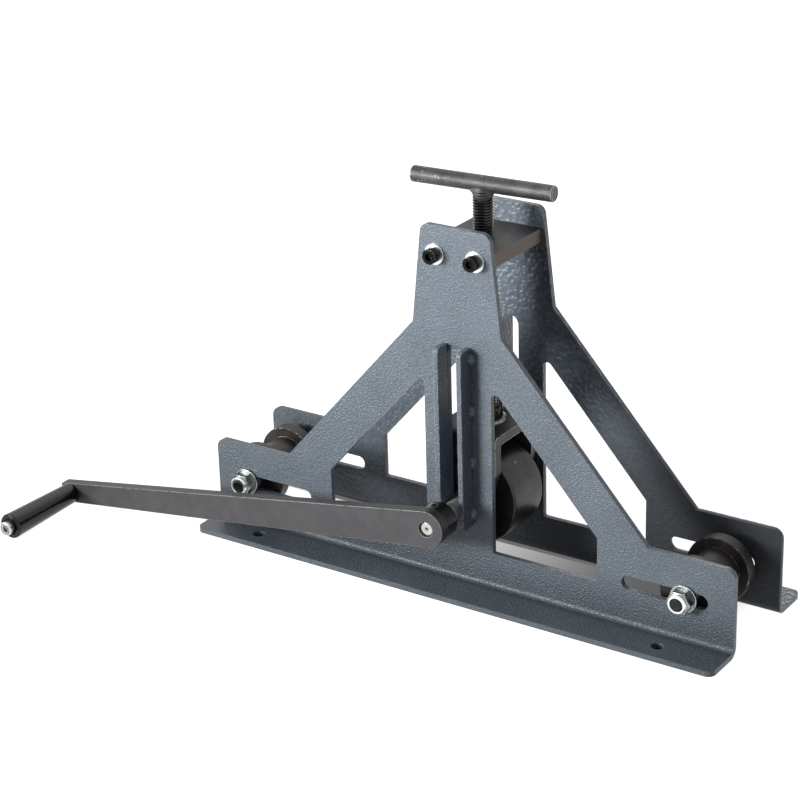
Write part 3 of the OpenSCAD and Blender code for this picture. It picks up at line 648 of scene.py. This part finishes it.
# %% [markdown]
# ## The screw's socket and shank
# The top face is inset to a narrow ring, and the points of that ring are pulled onto a hexagon of
# 6 mm across its flats, for a 6 mm key. The face inside it is pushed down and ends in the shallow
# cone that a drill leaves. Then the `rim` values are set by each face's place on the head.

# %% Give it a socket and a shank
key_half, socket_deep, ring = 3 * MM, 4.2 * MM, 0.35 * MM
socket_r = key_half / math.cos(math.radians(30))
edit(cap)
pick(cap, lambda face: face.normal.z > 0.9 and face.calc_center_median().xy.length < 1 * MM)
bpy.ops.mesh.inset(thickness=head_r - head_bevel - socket_r - ring, depth=0)
bpy.ops.mesh.inset(thickness=ring, depth=0)
mesh = bmesh.from_edit_mesh(cap.data)
for point in [v for v in mesh.verts if v.select]:
    turn = math.atan2(point.co.y, point.co.x)
    off_flat = (turn + math.pi / 6) % (math.pi / 3) - math.pi / 6
    flat = key_half / math.cos(off_flat)
    point.co.x, point.co.y = flat * math.cos(turn), flat * math.sin(turn)
bmesh.update_edit_mesh(cap.data)
bpy.ops.mesh.extrude_region_move(TRANSFORM_OT_translate={"value": (0, 0, -socket_deep)})
bpy.ops.mesh.inset(thickness=1.2 * MM, depth=-0.6 * MM)
pick(cap, lambda face: face.normal.z < -0.9 and face.calc_center_median().length < 0.1 * MM)
bpy.ops.mesh.inset(thickness=head_r - shank_r, depth=0)
bpy.ops.mesh.extrude_region_move(TRANSFORM_OT_translate={"value": (0, 0, -shank_h)})
bpy.ops.object.mode_set(mode="OBJECT")
outwards(cap)
bpy.ops.object.shade_smooth_by_angle(angle=math.radians(35))
handled = []
for face in cap.data.polygons:
    out = face.center.xy.length
    bevelled = 0.15 < face.normal.z < 0.95 and out > 5.5 * MM
    crest = abs(face.normal.z) < 0.1 and out > head_r - 0.1 * MM
    handled.append(1.0 if bevelled else 0.8 if crest else 0.0)
cap.data.attributes.new("rim", "FLOAT", "FACE").data.foreach_set("value", handled)
print("cap screw:", len(cap.data.polygons), "faces, of them rubbed:", sum(v > 0 for v in handled))

# %% [markdown]
# ## Placing the four cap screws
# The screw was modelled once, upright, with its head upwards. Each of the four copies is laid
# down so that its head points away from the middle of the machine, and turned a little about its
# own axis, because no two screws stop at the same angle.

# %% Copy the cap screws into their holes
head_low, head_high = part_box("cap_screws")
cap_x = head_high.x - head_r
cap_z = (head_low.z + head_high.z) / 2
seat_y = head_high.y - head_h
places = []
for side, face, turn in ((-1, -1, 12), (1, -1, 41), (-1, 1, 27), (1, 1, 5)):
    lay_down = Matrix.Rotation(math.radians(-90 * face), 4, "X")
    own_turn = Matrix.Rotation(math.radians(turn), 4, "Z")
    seat = Matrix.Translation((side * cap_x, face * seat_y, cap_z))
    places.append(seat @ lay_down @ own_turn)
caps = copy_and_join(cap, places, "knurled_cap_screws")
stand_in(caps, "cap_screws")
print("cap screws reach", round(max(p.co.y for p in caps.data.vertices) / MM, 1),
      "mm, and their solids", round(head_high.y / MM, 1), "mm")

# %% [markdown]
# ## How a finish is built
# Every finish is a Principled shader with patterns wired into it. A pattern that several finishes
# share is a node group with named inputs, so that each finish sets its own sizes. All patterns
# read Object coordinates: these are metres in the machine's own frame, so a grain of 2 mm is 2 mm
# on every piece and stays put when the piece moves.

# %% Start and end a node group
FLOAT, VECTOR = "NodeSocketFloat", "NodeSocketVector"


def start_group(name, takes, gives):
    """A shader node group with its named sockets; returns the group, its inputs and its exit."""
    group = bpy.data.node_groups.new(name, "ShaderNodeTree")
    for label, kind, value in takes:
        socket = group.interface.new_socket(label, in_out="INPUT", socket_type=kind)
        if value is not None:
            socket.default_value = value
    for label in gives:
        group.interface.new_socket(label, in_out="OUTPUT", socket_type=FLOAT)
    return group, put(group, "NodeGroupInput").outputs, put(group, "NodeGroupOutput").inputs


def end_group(group, leaves, **sockets):
    """Wires what the group gives out."""
    feed(group, leaves, **sockets)
    print(f"group {group.name}: {len(group.nodes)} nodes, gives {', '.join(sockets)}")


# %% [markdown]
# ## Pattern: hammered coat
# Hammer-tone powder melts into small pebbles with smooth tops, and light glints on their sides.
# Noise alone looks like cloth and a Voronoi cell alone like tiles. Here a smooth Voronoi gives the
# pebbles, its points are pushed about by noise so that they aren't regular, and a slower noise
# lets the coat lie thicker in some places. The group gives out one height for a Bump node, and a
# slow tone for the colour.

# %% Group: hammered coat
hammered, takes, leaves = start_group(
    "hammered_coat",
    [("Place", VECTOR, None), ("Pebble", FLOAT, 2.4 * MM), ("Stray", FLOAT, 0.7)],
    ["Height", "Tone"])
per_pebble = calc(hammered, "DIVIDE", 1.0, takes["Pebble"])
stray = noise(hammered, takes["Place"], per_pebble, 2.0, output="Color")
stray_by = put(hammered, "ShaderNodeVectorMath",
               {0: stray, 3: times(hammered, takes["Pebble"], takes["Stray"])},
               operation="SCALE").outputs[0]
strayed = put(hammered, "ShaderNodeVectorMath", {0: takes["Place"], 1: stray_by},
              operation="ADD").outputs[0]
cells = put(hammered, "ShaderNodeTexVoronoi",
            {"Vector": strayed, "Scale": per_pebble, "Smoothness": 0.5}, feature="SMOOTH_F1")
pebbles = span(hammered, cells.outputs["Distance"], 0.05, 0.75, 1.0, 0.0)
ripple = noise(hammered, takes["Place"], times(hammered, per_pebble, 0.7), 3.0, 0.55)
height = calc(hammered, "ADD", times(hammered, pebbles, 0.8), times(hammered, ripple, 0.75))
end_group(hammered, leaves, Height=height, Tone=noise(hammered, takes["Place"], 14.0, 3.0))

# %% [markdown]
# ## Pattern: worn edge
# Along a rim the coat or the scale rubs off in dashes. The `rim` attribute says where the bevels
# are, and a noise breaks that line up. A higher `Worn` bares more of it.

# %% Group: worn edge
worn_edge, takes, leaves = start_group(
    "worn_edge", [("Rim", FLOAT, 0.0), ("Place", VECTOR, None), ("Dash", FLOAT, 6 * MM),
                  ("Worn", FLOAT, 0.5)], ["Mask"])
per_dash = calc(worn_edge, "DIVIDE", 1.0, takes["Dash"])
dashes = noise(worn_edge, takes["Place"], per_dash, 4.0, 0.65)
limit = calc(worn_edge, "SUBTRACT", 0.72, times(worn_edge, takes["Worn"], 0.44))
bared = span(worn_edge, dashes, limit, calc(worn_edge, "ADD", limit, 0.12))
end_group(worn_edge, leaves, Mask=times(worn_edge, bared, takes["Rim"]))

# %% [markdown]
# ## Pattern: turning marks
# A lathe tool leaves fine rings. On the side of a bar they follow one another along the axis, and
# on an end face they follow the radius. So the pattern reads just two numbers, the distance along
# the Y axis and the distance from it, and noise of these two makes rings in both places. A
# Mapping node before it brings the piece's own axis onto Y.

# %% Group: turning marks
turned, takes, leaves = start_group(
    "turning_marks", [("Place", VECTOR, None), ("Feed", FLOAT, 0.35 * MM)], ["Height", "Tone"])
at = axes(turned, takes["Place"])
squares = calc(turned, "ADD", times(turned, at["X"], at["X"]), times(turned, at["Z"], at["Z"]))
rings_at = put(turned, "ShaderNodeCombineXYZ",
               {"X": calc(turned, "SQRT", squares), "Y": at["Y"]}).outputs[0]
per_feed = calc(turned, "DIVIDE", 1.0, takes["Feed"])
fine = noise(turned, rings_at, per_feed, 2.0, noise_dimensions="2D")
broad = noise(turned, rings_at, times(turned, per_feed, 0.12), 2.0, noise_dimensions="2D")
end_group(turned, leaves, Height=fine, Tone=broad)

# %% [markdown]
# ## Pattern: mill skin
# Hot-rolled and blackened steel is never even: there are cloudy darker areas and a fine grit
# between them. Two noises of very different size give the two, and a third, stretched along one
# direction, gives faint streaks from the drawing or grinding.

# %% Group: mill skin
mill_skin, takes, leaves = start_group(
    "mill_skin", [("Place", VECTOR, None), ("Cloud", FLOAT, 18 * MM), ("Grit", FLOAT, 0.5 * MM),
                  ("Along", VECTOR, (1, 1, 1))], ["Clouds", "Grit", "Streaks"])
per_cloud = calc(mill_skin, "DIVIDE", 1.0, takes["Cloud"])
per_grit = calc(mill_skin, "DIVIDE", 1.0, takes["Grit"])
drawn = put(mill_skin, "ShaderNodeVectorMath", {0: takes["Place"], 1: takes["Along"]},
            operation="MULTIPLY").outputs[0]
end_group(mill_skin, leaves, Clouds=noise(mill_skin, takes["Place"], per_cloud, 5.0, 0.6),
          Grit=noise(mill_skin, takes["Place"], per_grit, 2.0),
          Streaks=noise(mill_skin, drawn, per_grit, 3.0))

# %% [markdown]
# ## Pattern: specks
# A few tiny light specks of dust or chipped scale sit on the dark pieces. Voronoi cells give one
# point each. Only a share of the cells is kept, by the random colour that each cell has, and in
# those a small dot is drawn round the cell's point.

# %% Group: specks
specks, takes, leaves = start_group(
    "specks", [("Place", VECTOR, None), ("Spread", FLOAT, 4 * MM), ("Size", FLOAT, 0.09),
               ("Kept", FLOAT, 0.3)], ["Mask"])
dots = put(specks, "ShaderNodeTexVoronoi",
           {"Vector": takes["Place"], "Scale": calc(specks, "DIVIDE", 1.0, takes["Spread"])})
lot = put(specks, "ShaderNodeSeparateColor", {0: dots.outputs["Color"]}).outputs["Red"]
inside = span(specks, dots.outputs["Distance"], times(specks, takes["Size"], 0.6),
              takes["Size"], 1.0, 0.0)
kept = calc(specks, "LESS_THAN", lot, takes["Kept"])
end_group(specks, leaves, Mask=times(specks, inside, kept))

# %% [markdown]
# ## Pattern: one mark
# Handling left a scratch and two stains, and the driven roller gets one painted highlight. A
# photograph of a stain could be laid on, but a small ellipsoid in space does it as well: the
# distance from its middle, divided by its size along each axis, is below one inside it. Noise
# added to that distance tears its outline.

# %% Group: one mark
one_mark, takes, leaves = start_group(
    "one_mark", [("Place", VECTOR, None), ("At", VECTOR, (0, 0, 0)), ("Size", VECTOR, (1, 1, 1)),
                 ("Ragged", FLOAT, 0.5)], ["Mask"])
offset = put(one_mark, "ShaderNodeVectorMath", {0: takes["Place"], 1: takes["At"]},
             operation="SUBTRACT").outputs[0]
shrunk = put(one_mark, "ShaderNodeVectorMath", {0: offset, 1: takes["Size"]},
             operation="DIVIDE").outputs[0]
far = put(one_mark, "ShaderNodeVectorMath", {0: shrunk}, operation="LENGTH").outputs["Value"]
torn = calc(one_mark, "SUBTRACT", noise(one_mark, takes["Place"], 900.0, 3.0), 0.5)
torn = times(one_mark, torn, times(one_mark, takes["Ragged"], 4.0))
end_group(one_mark, leaves,
          Mask=span(one_mark, calc(one_mark, "ADD", far, torn), 0.6, 1.0, 1.0, 0.0))

# %% [markdown]
# ## Starting a finish
# Each finish begins with the same things: the Principled shader with its plain values and the
# Object coordinates. `lay_on` places a pattern group and wires it, `rim_of` reads where the
# bevels are, `mark` gives the mask of one scratch, stain or painted highlight, and `paint_over`
# lays one more colour over a finish.

# %% Finish helpers
finishes = {}


def start_finish(name, roughness, metallic, coat=0.0, coat_roughness=0.1):
    paint = bpy.data.materials.new(name)
    paint.use_nodes = True
    tree = paint.node_tree
    shader = tree.nodes["Principled BSDF"]
    shader.inputs["Roughness"].default_value = roughness
    shader.inputs["Metallic"].default_value = metallic
    shader.inputs["Coat Weight"].default_value = coat
    shader.inputs["Coat Roughness"].default_value = coat_roughness
    finishes[name] = paint
    place = put(tree, "ShaderNodeTexCoord").outputs["Object"]
    return tree, shader, place


def lay_on(tree, group, **values):
    return put(tree, "ShaderNodeGroup", values, node_tree=group).outputs


def rim_of(tree):
    return put(tree, "ShaderNodeAttribute", attribute_name="rim").outputs["Fac"]


def bump(tree, height, depth):
    values = {"Height": height, "Distance": depth, "Strength": 1.0}
    return put(tree, "ShaderNodeBump", values).outputs["Normal"]


def mark(tree, place, at, size, strength):
    """The mask of one scratch or stain, or of one painted highlight, with its place and size in
    millimetres.
    """
    mask = lay_on(tree, one_mark, Place=place, At=[v * MM for v in at],
                  Size=[v * MM for v in size], Ragged=0.3)["Mask"]
    return times(tree, mask, strength)


def paint_over(tree, shader, mask, colour):
    below = shader.inputs["Base Color"].links[0].from_socket
    feed(tree, shader.inputs, Base_Color=mix(tree, mask, below, screen(*colour)))


# %% [markdown]
# ## Finish: the relief of the hammered coat
# The coat on the front plate is fine, like orange peel, and smoother towards the tower's top.
# Inside the machine it ran thicker and shows pebbles more than twice as large, so the hammered
# pattern is laid on twice, and a mask by the distance across the machine chooses between them.
# Low down and to the right the rear plate's inner side carries painted shade: there the pebbles
# are made shallower and the coat rougher.

# %% Finish: plate coat, its relief
coat_dull = 0.33
tree, shader, place = start_finish("plate_coat", coat_dull, 0.0, coat=0.10, coat_roughness=0.20)
fine_coat = lay_on(tree, hammered, Place=place, Pebble=1.65 * MM, Stray=0.8)
thick_coat = lay_on(tree, hammered, Place=place, Pebble=3.8 * MM, Stray=0.9)
at = axes(tree, place)
inner = span(tree, at["Y"], -42 * MM, -36 * MM)
height = mix_numbers(tree, inner, fine_coat["Height"], thick_coat["Height"])
run_thick = span(tree, fine_coat["Tone"], 0.42, 0.6, 0.3, 1.0)
# painted shade on the rear plate's inner side, low down and to the right, where the front plate
# keeps the lamp off
deep_inside = times(tree, span(tree, at["Y"], 30 * MM, 36 * MM),
                    span(tree, at["Y"], 42 * MM, 43.5 * MM, 1.0, 0.0))
low_down = span(tree, at["Z"], 90 * MM, 170 * MM, 0.88, 0.0)
far_right = span(tree, at["X"], -60 * MM, 170 * MM, 0.4, 1.0)
painted_inner_shade = times(tree, deep_inside, times(tree, low_down, far_right))
depth_inside = calc(tree, "SUBTRACT", times(tree, run_thick, 0.25 * MM),
                    times(tree, painted_inner_shade, 0.5 * MM))
depth_outside = span(tree, at["Z"], 150 * MM, 260 * MM, 0.41 * MM, 0.25 * MM)
depth = mix_numbers(tree, inner, depth_outside, calc(tree, "ADD", depth_inside, 0.42 * MM))
feed(tree, shader.inputs, Normal=bump(tree, height, depth),
     Roughness=calc(tree, "ADD", coat_dull, times(tree, painted_inner_shade, 0.4)))
print("relief of the coat:", len(tree.nodes), "nodes")

# %% [markdown]
# ## Finish: the colours of the hammered coat
# The tops of the pebbles carry a painted highlight and their hollows painted shade. On the edges
# the coat is thin and lighter, and on the tack welds, which lie in shade, that light coat is also
# painted light. A painted highlight follows the bend, painted shade darkens the foot, and more
# painted shade darkens the rear plate's inner side low down and to the right. The scratch is on a
# guide bar and the two stains are on the rear plate. Each is a mask and a colour, and a loop lays
# them over one another in that order.

# %% Finish: plate coat, its colours
thin_coat_and_tack_light = lay_on(tree, worn_edge, Rim=rim_of(tree), Place=place, Dash=9 * MM,
                   Worn=0.75)["Mask"]
# painted shade: the coat darkens towards the foot and over the flange
painted_foot_shade = times(tree, span(tree, at["Z"], 6 * MM, 60 * MM, 0.65, 0.0),
              span(tree, at["Y"], -44 * MM, -43 * MM, 1.0, 0.0))
painted_foot_shade = times(tree, painted_foot_shade, span(tree, at["Y"], -56 * MM, -48 * MM, 0.4, 1.0))
bend_z = 8.6 * MM
off_bend = calc(tree, "ABSOLUTE", calc(tree, "SUBTRACT", at["Z"], bend_z))
outside = span(tree, calc(tree, "ABSOLUTE", at["Y"]), 44.2 * MM, 44.4 * MM)
# a painted highlight along the bend
painted_bend_highlight = times(tree, span(tree, off_bend, 0.1 * MM, 0.9 * MM, 1.0, 0.0), outside)
stained_y = 39.5
coat_colour = mix(tree, span(tree, fine_coat["Tone"], 0.35, 0.65), screen(110, 120, 131),
                  screen(122, 133, 144))
for mask, shade in (
        # painted highlight on the pebble tops, painted shade in their hollows
        (span(tree, height, 0.35, 1.0, 0.0, 0.22), (146, 156, 164)),
        (span(tree, height, 0.30, 0.75, 0.25, 0.0), (84, 92, 102)),
        # thin, lighter coat on the rims; on the tack welds it is also painted light
        (times(tree, thin_coat_and_tack_light, 0.5), (176, 184, 190)),
        # painted shade at the foot
        (painted_foot_shade, (60, 66, 72)),
        # painted shade on the rear plate's inner side
        (painted_inner_shade, (27, 27, 31)),
        # the painted highlight along the bend
        (times(tree, painted_bend_highlight, 0.2), (190, 197, 203)),
        (mark(tree, place, (-12.2, -60, 87), (2.4, 1.5, 0.9), 0.8), (200, 120, 110)),
        (mark(tree, place, (30, stained_y, 163.5), (3.5, 2, 3.5), 0.8), (104, 74, 34)),
        (mark(tree, place, (239.6, stained_y, 59), (3, 2, 1), 0.7), (120, 70, 50))):
    coat_colour = mix(tree, mask, coat_colour, screen(*shade))
feed(tree, shader.inputs, Base_Color=coat_colour)
print("coat with its colours:", len(tree.nodes), "nodes")

# %% [markdown]
# ## Finish: the other steels
# Blackened, drawn, ground and turned steel differ in their colour, their roughness and in which
# pattern shows most. One recipe takes these as numbers, and each steel calls it with its own. The
# metal is dark because of its oxide skin, so it is only partly metallic.

# %% A recipe for dark steel
def dark_steel(name, dark, light, roughness, metallic, worn=0.4, bare=(150, 148, 145),
               along=(1, 1, 1), grit=0.45, grain_depth=0.02, coat=0.0, dust=0.0):
    """Clouds between two colours, grit and streaks in the roughness, bared rims, dust."""
    tree, shader, place = start_finish(name, roughness, metallic, coat)
    skin = lay_on(tree, mill_skin, Place=place, Cloud=16 * MM, Grit=grit * MM, Along=along)
    colour = mix(tree, span(tree, skin["Clouds"], 0.35, 0.65), screen(*dark), screen(*light))
    colour = mix(tree, times(tree, skin["Streaks"], 0.35), colour, screen(*dark))
    rubbed = lay_on(tree, worn_edge, Rim=rim_of(tree), Place=place, Dash=5 * MM,
                    Worn=worn)["Mask"]
    colour = mix(tree, rubbed, colour, screen(*bare))
    if dust:
        fallen = lay_on(tree, specks, Place=place, Spread=3 * MM, Size=0.15, Kept=dust)["Mask"]
        colour = mix(tree, fallen, colour, screen(205, 205, 203))
    dull = calc(tree, "ADD", roughness - 0.08, times(tree, skin["Streaks"], 0.16))
    dull = calc(tree, "SUBTRACT", dull, times(tree, rubbed, 0.1), clamp=True)
    feed(tree, shader.inputs, Base_Color=colour, Roughness=dull,
         Normal=bump(tree, skin["Grit"], grain_depth * MM))
    return tree, shader, place


# %% [markdown]
# ## Steels with a second colour
# Some pieces need one thing more than the recipe gives. The cross plate's ends are sawn and
# brownish, the top of the yoke's web is darker, flakes sit on the left half of the T-bar, the
# crank arm's sides and top carry painted shade, darker than its ground face, and the driven
# roller has one painted highlight. Each is a mask by place, painted over the finish.

# %% Finishes: cross plate, yoke, T-bar, crank arm and driven roller
tree, shader, place = dark_steel("cross_steel", (34, 33, 32), (48, 46, 45), 0.48, 0.3, worn=0.5,
                                 bare=(128, 116, 106))
cut_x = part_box("cross_plate")[1].x - 0.4 * MM
from_middle = calc(tree, "ABSOLUTE", axes(tree, place)["X"])
sawn = span(tree, from_middle, cut_x - 0.1 * MM, cut_x + 0.1 * MM, 0.0, 0.8)
paint_over(tree, shader, sawn, (112, 100, 90))

tree, shader, place = dark_steel("yoke_steel", (56, 54, 51), (78, 74, 71), 0.40, 0.5, worn=0.9,
                                 bare=(196, 190, 180))
web_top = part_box("thrust_boss")[0].z
# the top of the yoke's web is darker
darker_web_top = span(tree, axes(tree, place)["Z"], web_top - 0.5 * MM, web_top - 0.1 * MM, 0.0, 0.85)
paint_over(tree, shader, darker_web_top, (24, 22, 21))

tree, shader, place = dark_steel("tee_dark", (66, 66, 67), (92, 92, 93), 0.42, 0.45, worn=0.8,
                                 grain_depth=0.3, grit=0.8, bare=(178, 178, 177), dust=0.2)
flakes = lay_on(tree, specks, Place=place, Spread=3.2 * MM, Size=0.26, Kept=0.4)["Mask"]
left_half = span(tree, axes(tree, place)["X"], -70 * MM, -5 * MM, 0.8, 0.0)
paint_over(tree, shader, times(tree, flakes, left_half), (225, 226, 225))

tree, shader, place = dark_steel("arm_grey", (82, 81, 83), (94, 93, 95), 0.46, 0.1, worn=0.8,
                                 bare=(150, 149, 148), along=(0.06, 1, 1), grit=0.35)
arm_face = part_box("crank_arm")[0].y
# painted shade on the crank arm's sides and top, which face away from the lamp
edges = span(tree, axes(tree, place)["Y"], arm_face + 0.6 * MM, arm_face + 0.9 * MM, 0.0, 0.75)
paint_over(tree, shader, edges, (58, 56, 56))

tree, shader, place = dark_steel("drive_roller", (58, 58, 59), (74, 74, 75), 0.34, 0.45,
                                 worn=0.35, bare=(120, 120, 121), along=(1, 0.05, 1), dust=0.04)
# a painted highlight on the driven roller's rim
painted_roller_highlight = mark(tree, place, (29.3, -0.8, 103.8), (1.6, 0.5, 1.6), 0.9)
paint_over(tree, shader, painted_roller_highlight, (215, 215, 213))
print("finishes so far:", len(finishes))

# %% [markdown]
# ## Plain blackened steels
# The other dark pieces need only the recipe. The cap screws and the plastic grip are so dark that
# the white studio would grey them. A lower Specular IOR Level weakens that reflection.

# %% Finishes: screws, collar, axles, side rollers and grip
dark_steel("boss_black", (26, 26, 27), (40, 40, 42), 0.26, 0.5, worn=0.5)
dark_steel("screw_black", (44, 44, 45), (84, 82, 79), 0.17, 0.95, worn=0.0, grain_depth=0.01)
dark_steel("collar_black", (26, 26, 27), (36, 36, 38), 0.30, 0.3, worn=0.3, dust=0.04)
dark_steel("grub_black", (60, 60, 62), (100, 100, 102), 0.2, 0.8)
dark_steel("axle_black", (22, 22, 24), (36, 35, 35), 0.18, 0.4, worn=0.2)
dark_steel("side_roller", (47, 43, 41), (64, 60, 57), 0.40, 0.4, worn=0.5,
           bare=(150, 145, 140), grain_depth=0.06, grit=0.8, dust=0.02)
tree, shader, place = dark_steel("cap_black", (9, 9, 10), (15, 15, 17), 0.14, 0.1, worn=0.75,
                                 bare=(118, 118, 120))
shader.inputs["Specular IOR Level"].default_value = 0.18
tree, shader, place = dark_steel("grip_black", (9, 9, 10), (13, 13, 15), 0.22, 0.0, worn=0.0,
                                 grain_depth=0.0, coat=0.1)
shader.inputs["Specular IOR Level"].default_value = 0.3
print("finishes so far:", len(finishes))

# %% [markdown]
# ## Finish: bright and turned metal
# Zinc plating, the ground shaft, the spacer tubes and the bronze bushes are bare metal. They are
# metallic, so they show the white studio, and their turning marks break that reflection up. The
# shaft's stub between two dark pieces would mirror only these, so it is made less metallic, and
# its colour is made very light, which paints light onto the stub in the hub's shadow.

# %% A recipe for turned metal
def turned_metal(name, dark, light, roughness, metallic=1.0, feed_mm=0.35, depth=0.008,
                 centre=(0, 0, 0)):
    """Rings of the lathe tool, and clouds between two colours."""
    tree, shader, place = start_finish(name, roughness, metallic)
    own = put(tree, "ShaderNodeMapping", {"Vector": place, "Location": [-c * MM for c in centre]})
    marks = lay_on(tree, turned, Place=own.outputs[0], Feed=feed_mm * MM)
    skin = lay_on(tree, mill_skin, Place=place, Cloud=7 * MM, Grit=0.5 * MM)
    tone = times(tree, calc(tree, "ADD", marks["Tone"], skin["Clouds"]), 0.5)
    colour = mix(tree, span(tree, tone, 0.35, 0.65), screen(*dark), screen(*light))
    dull = calc(tree, "ADD", roughness - 0.03, times(tree, skin["Grit"], 0.06))
    feed(tree, shader.inputs, Base_Color=colour, Roughness=dull,
         Normal=bump(tree, marks["Height"], depth * MM))
    return tree, shader, place


# %% [markdown]
# ## The bright metals
# The zinc is brightest on the rims, on the round collars at the outer ends of the axle nuts, and
# on the washers high up under the cap screws. Three masks by place say so, and the larger wins.

# %% Finishes: zinc, shaft, spacers, bronze and weld
tree, shader, place = turned_metal("zinc", (112, 117, 116), (172, 177, 174), 0.27, feed_mm=1.5,
                                   depth=0.001)
nut_collar_y, washers_z = -55.9, 250
at = axes(tree, place)
collar = times(tree, span(tree, at["Y"], (nut_collar_y - 0.2) * MM, nut_collar_y * MM, 1.0, 0.0),
               span(tree, at["Y"], (nut_collar_y - 20) * MM, (nut_collar_y - 15) * MM))
high_up = span(tree, at["Z"], (washers_z - 1) * MM, washers_z * MM)
polished = calc(tree, "MAXIMUM", rim_of(tree), calc(tree, "MAXIMUM", collar, high_up))
paint_over(tree, shader, polished, (240, 243, 241))
# its very light colour paints light onto the shaft's stub, which lies in the hub's shadow
turned_metal("shaft_steel", (205, 202, 196), (235, 232, 226), 0.24, metallic=0.3, feed_mm=0.3,
             centre=(0, 0, 73))
turned_metal("spacer_steel", (120, 118, 114), (150, 148, 144), 0.35)
turned_metal("bronze", (92, 74, 48), (122, 98, 64), 0.34)
turned_metal("weld_bead", (150, 148, 143), (215, 211, 203), 0.20, metallic=0.6, feed_mm=2.0,
             depth=0.02)
print("finishes in all:", len(finishes))

# %% [markdown]
# ## Dressing every piece
# Each piece's slot names its finish. The solids that are still shown as they came, such as grub
# screws and keys, get theirs in the same way.

# %% Put the finishes on
for name, piece in pieces.items():
    piece.data.materials.clear()
    piece.data.materials.append(finishes[piece["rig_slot"]])
for name, solid in frame["nodes"].items():
    solid.data.materials.clear()
    solid.data.materials.append(finishes[slot_of[name]])
shown = [name for name, solid in frame["nodes"].items() if not solid.hide_render]
print("pieces:", len(pieces), "solids still shown:", shown)

# %% [markdown]
# ## Leaving the scene
# At the end nothing is left selected.

# %% Leave nothing selected
bpy.ops.object.select_all(action="DESELECT")
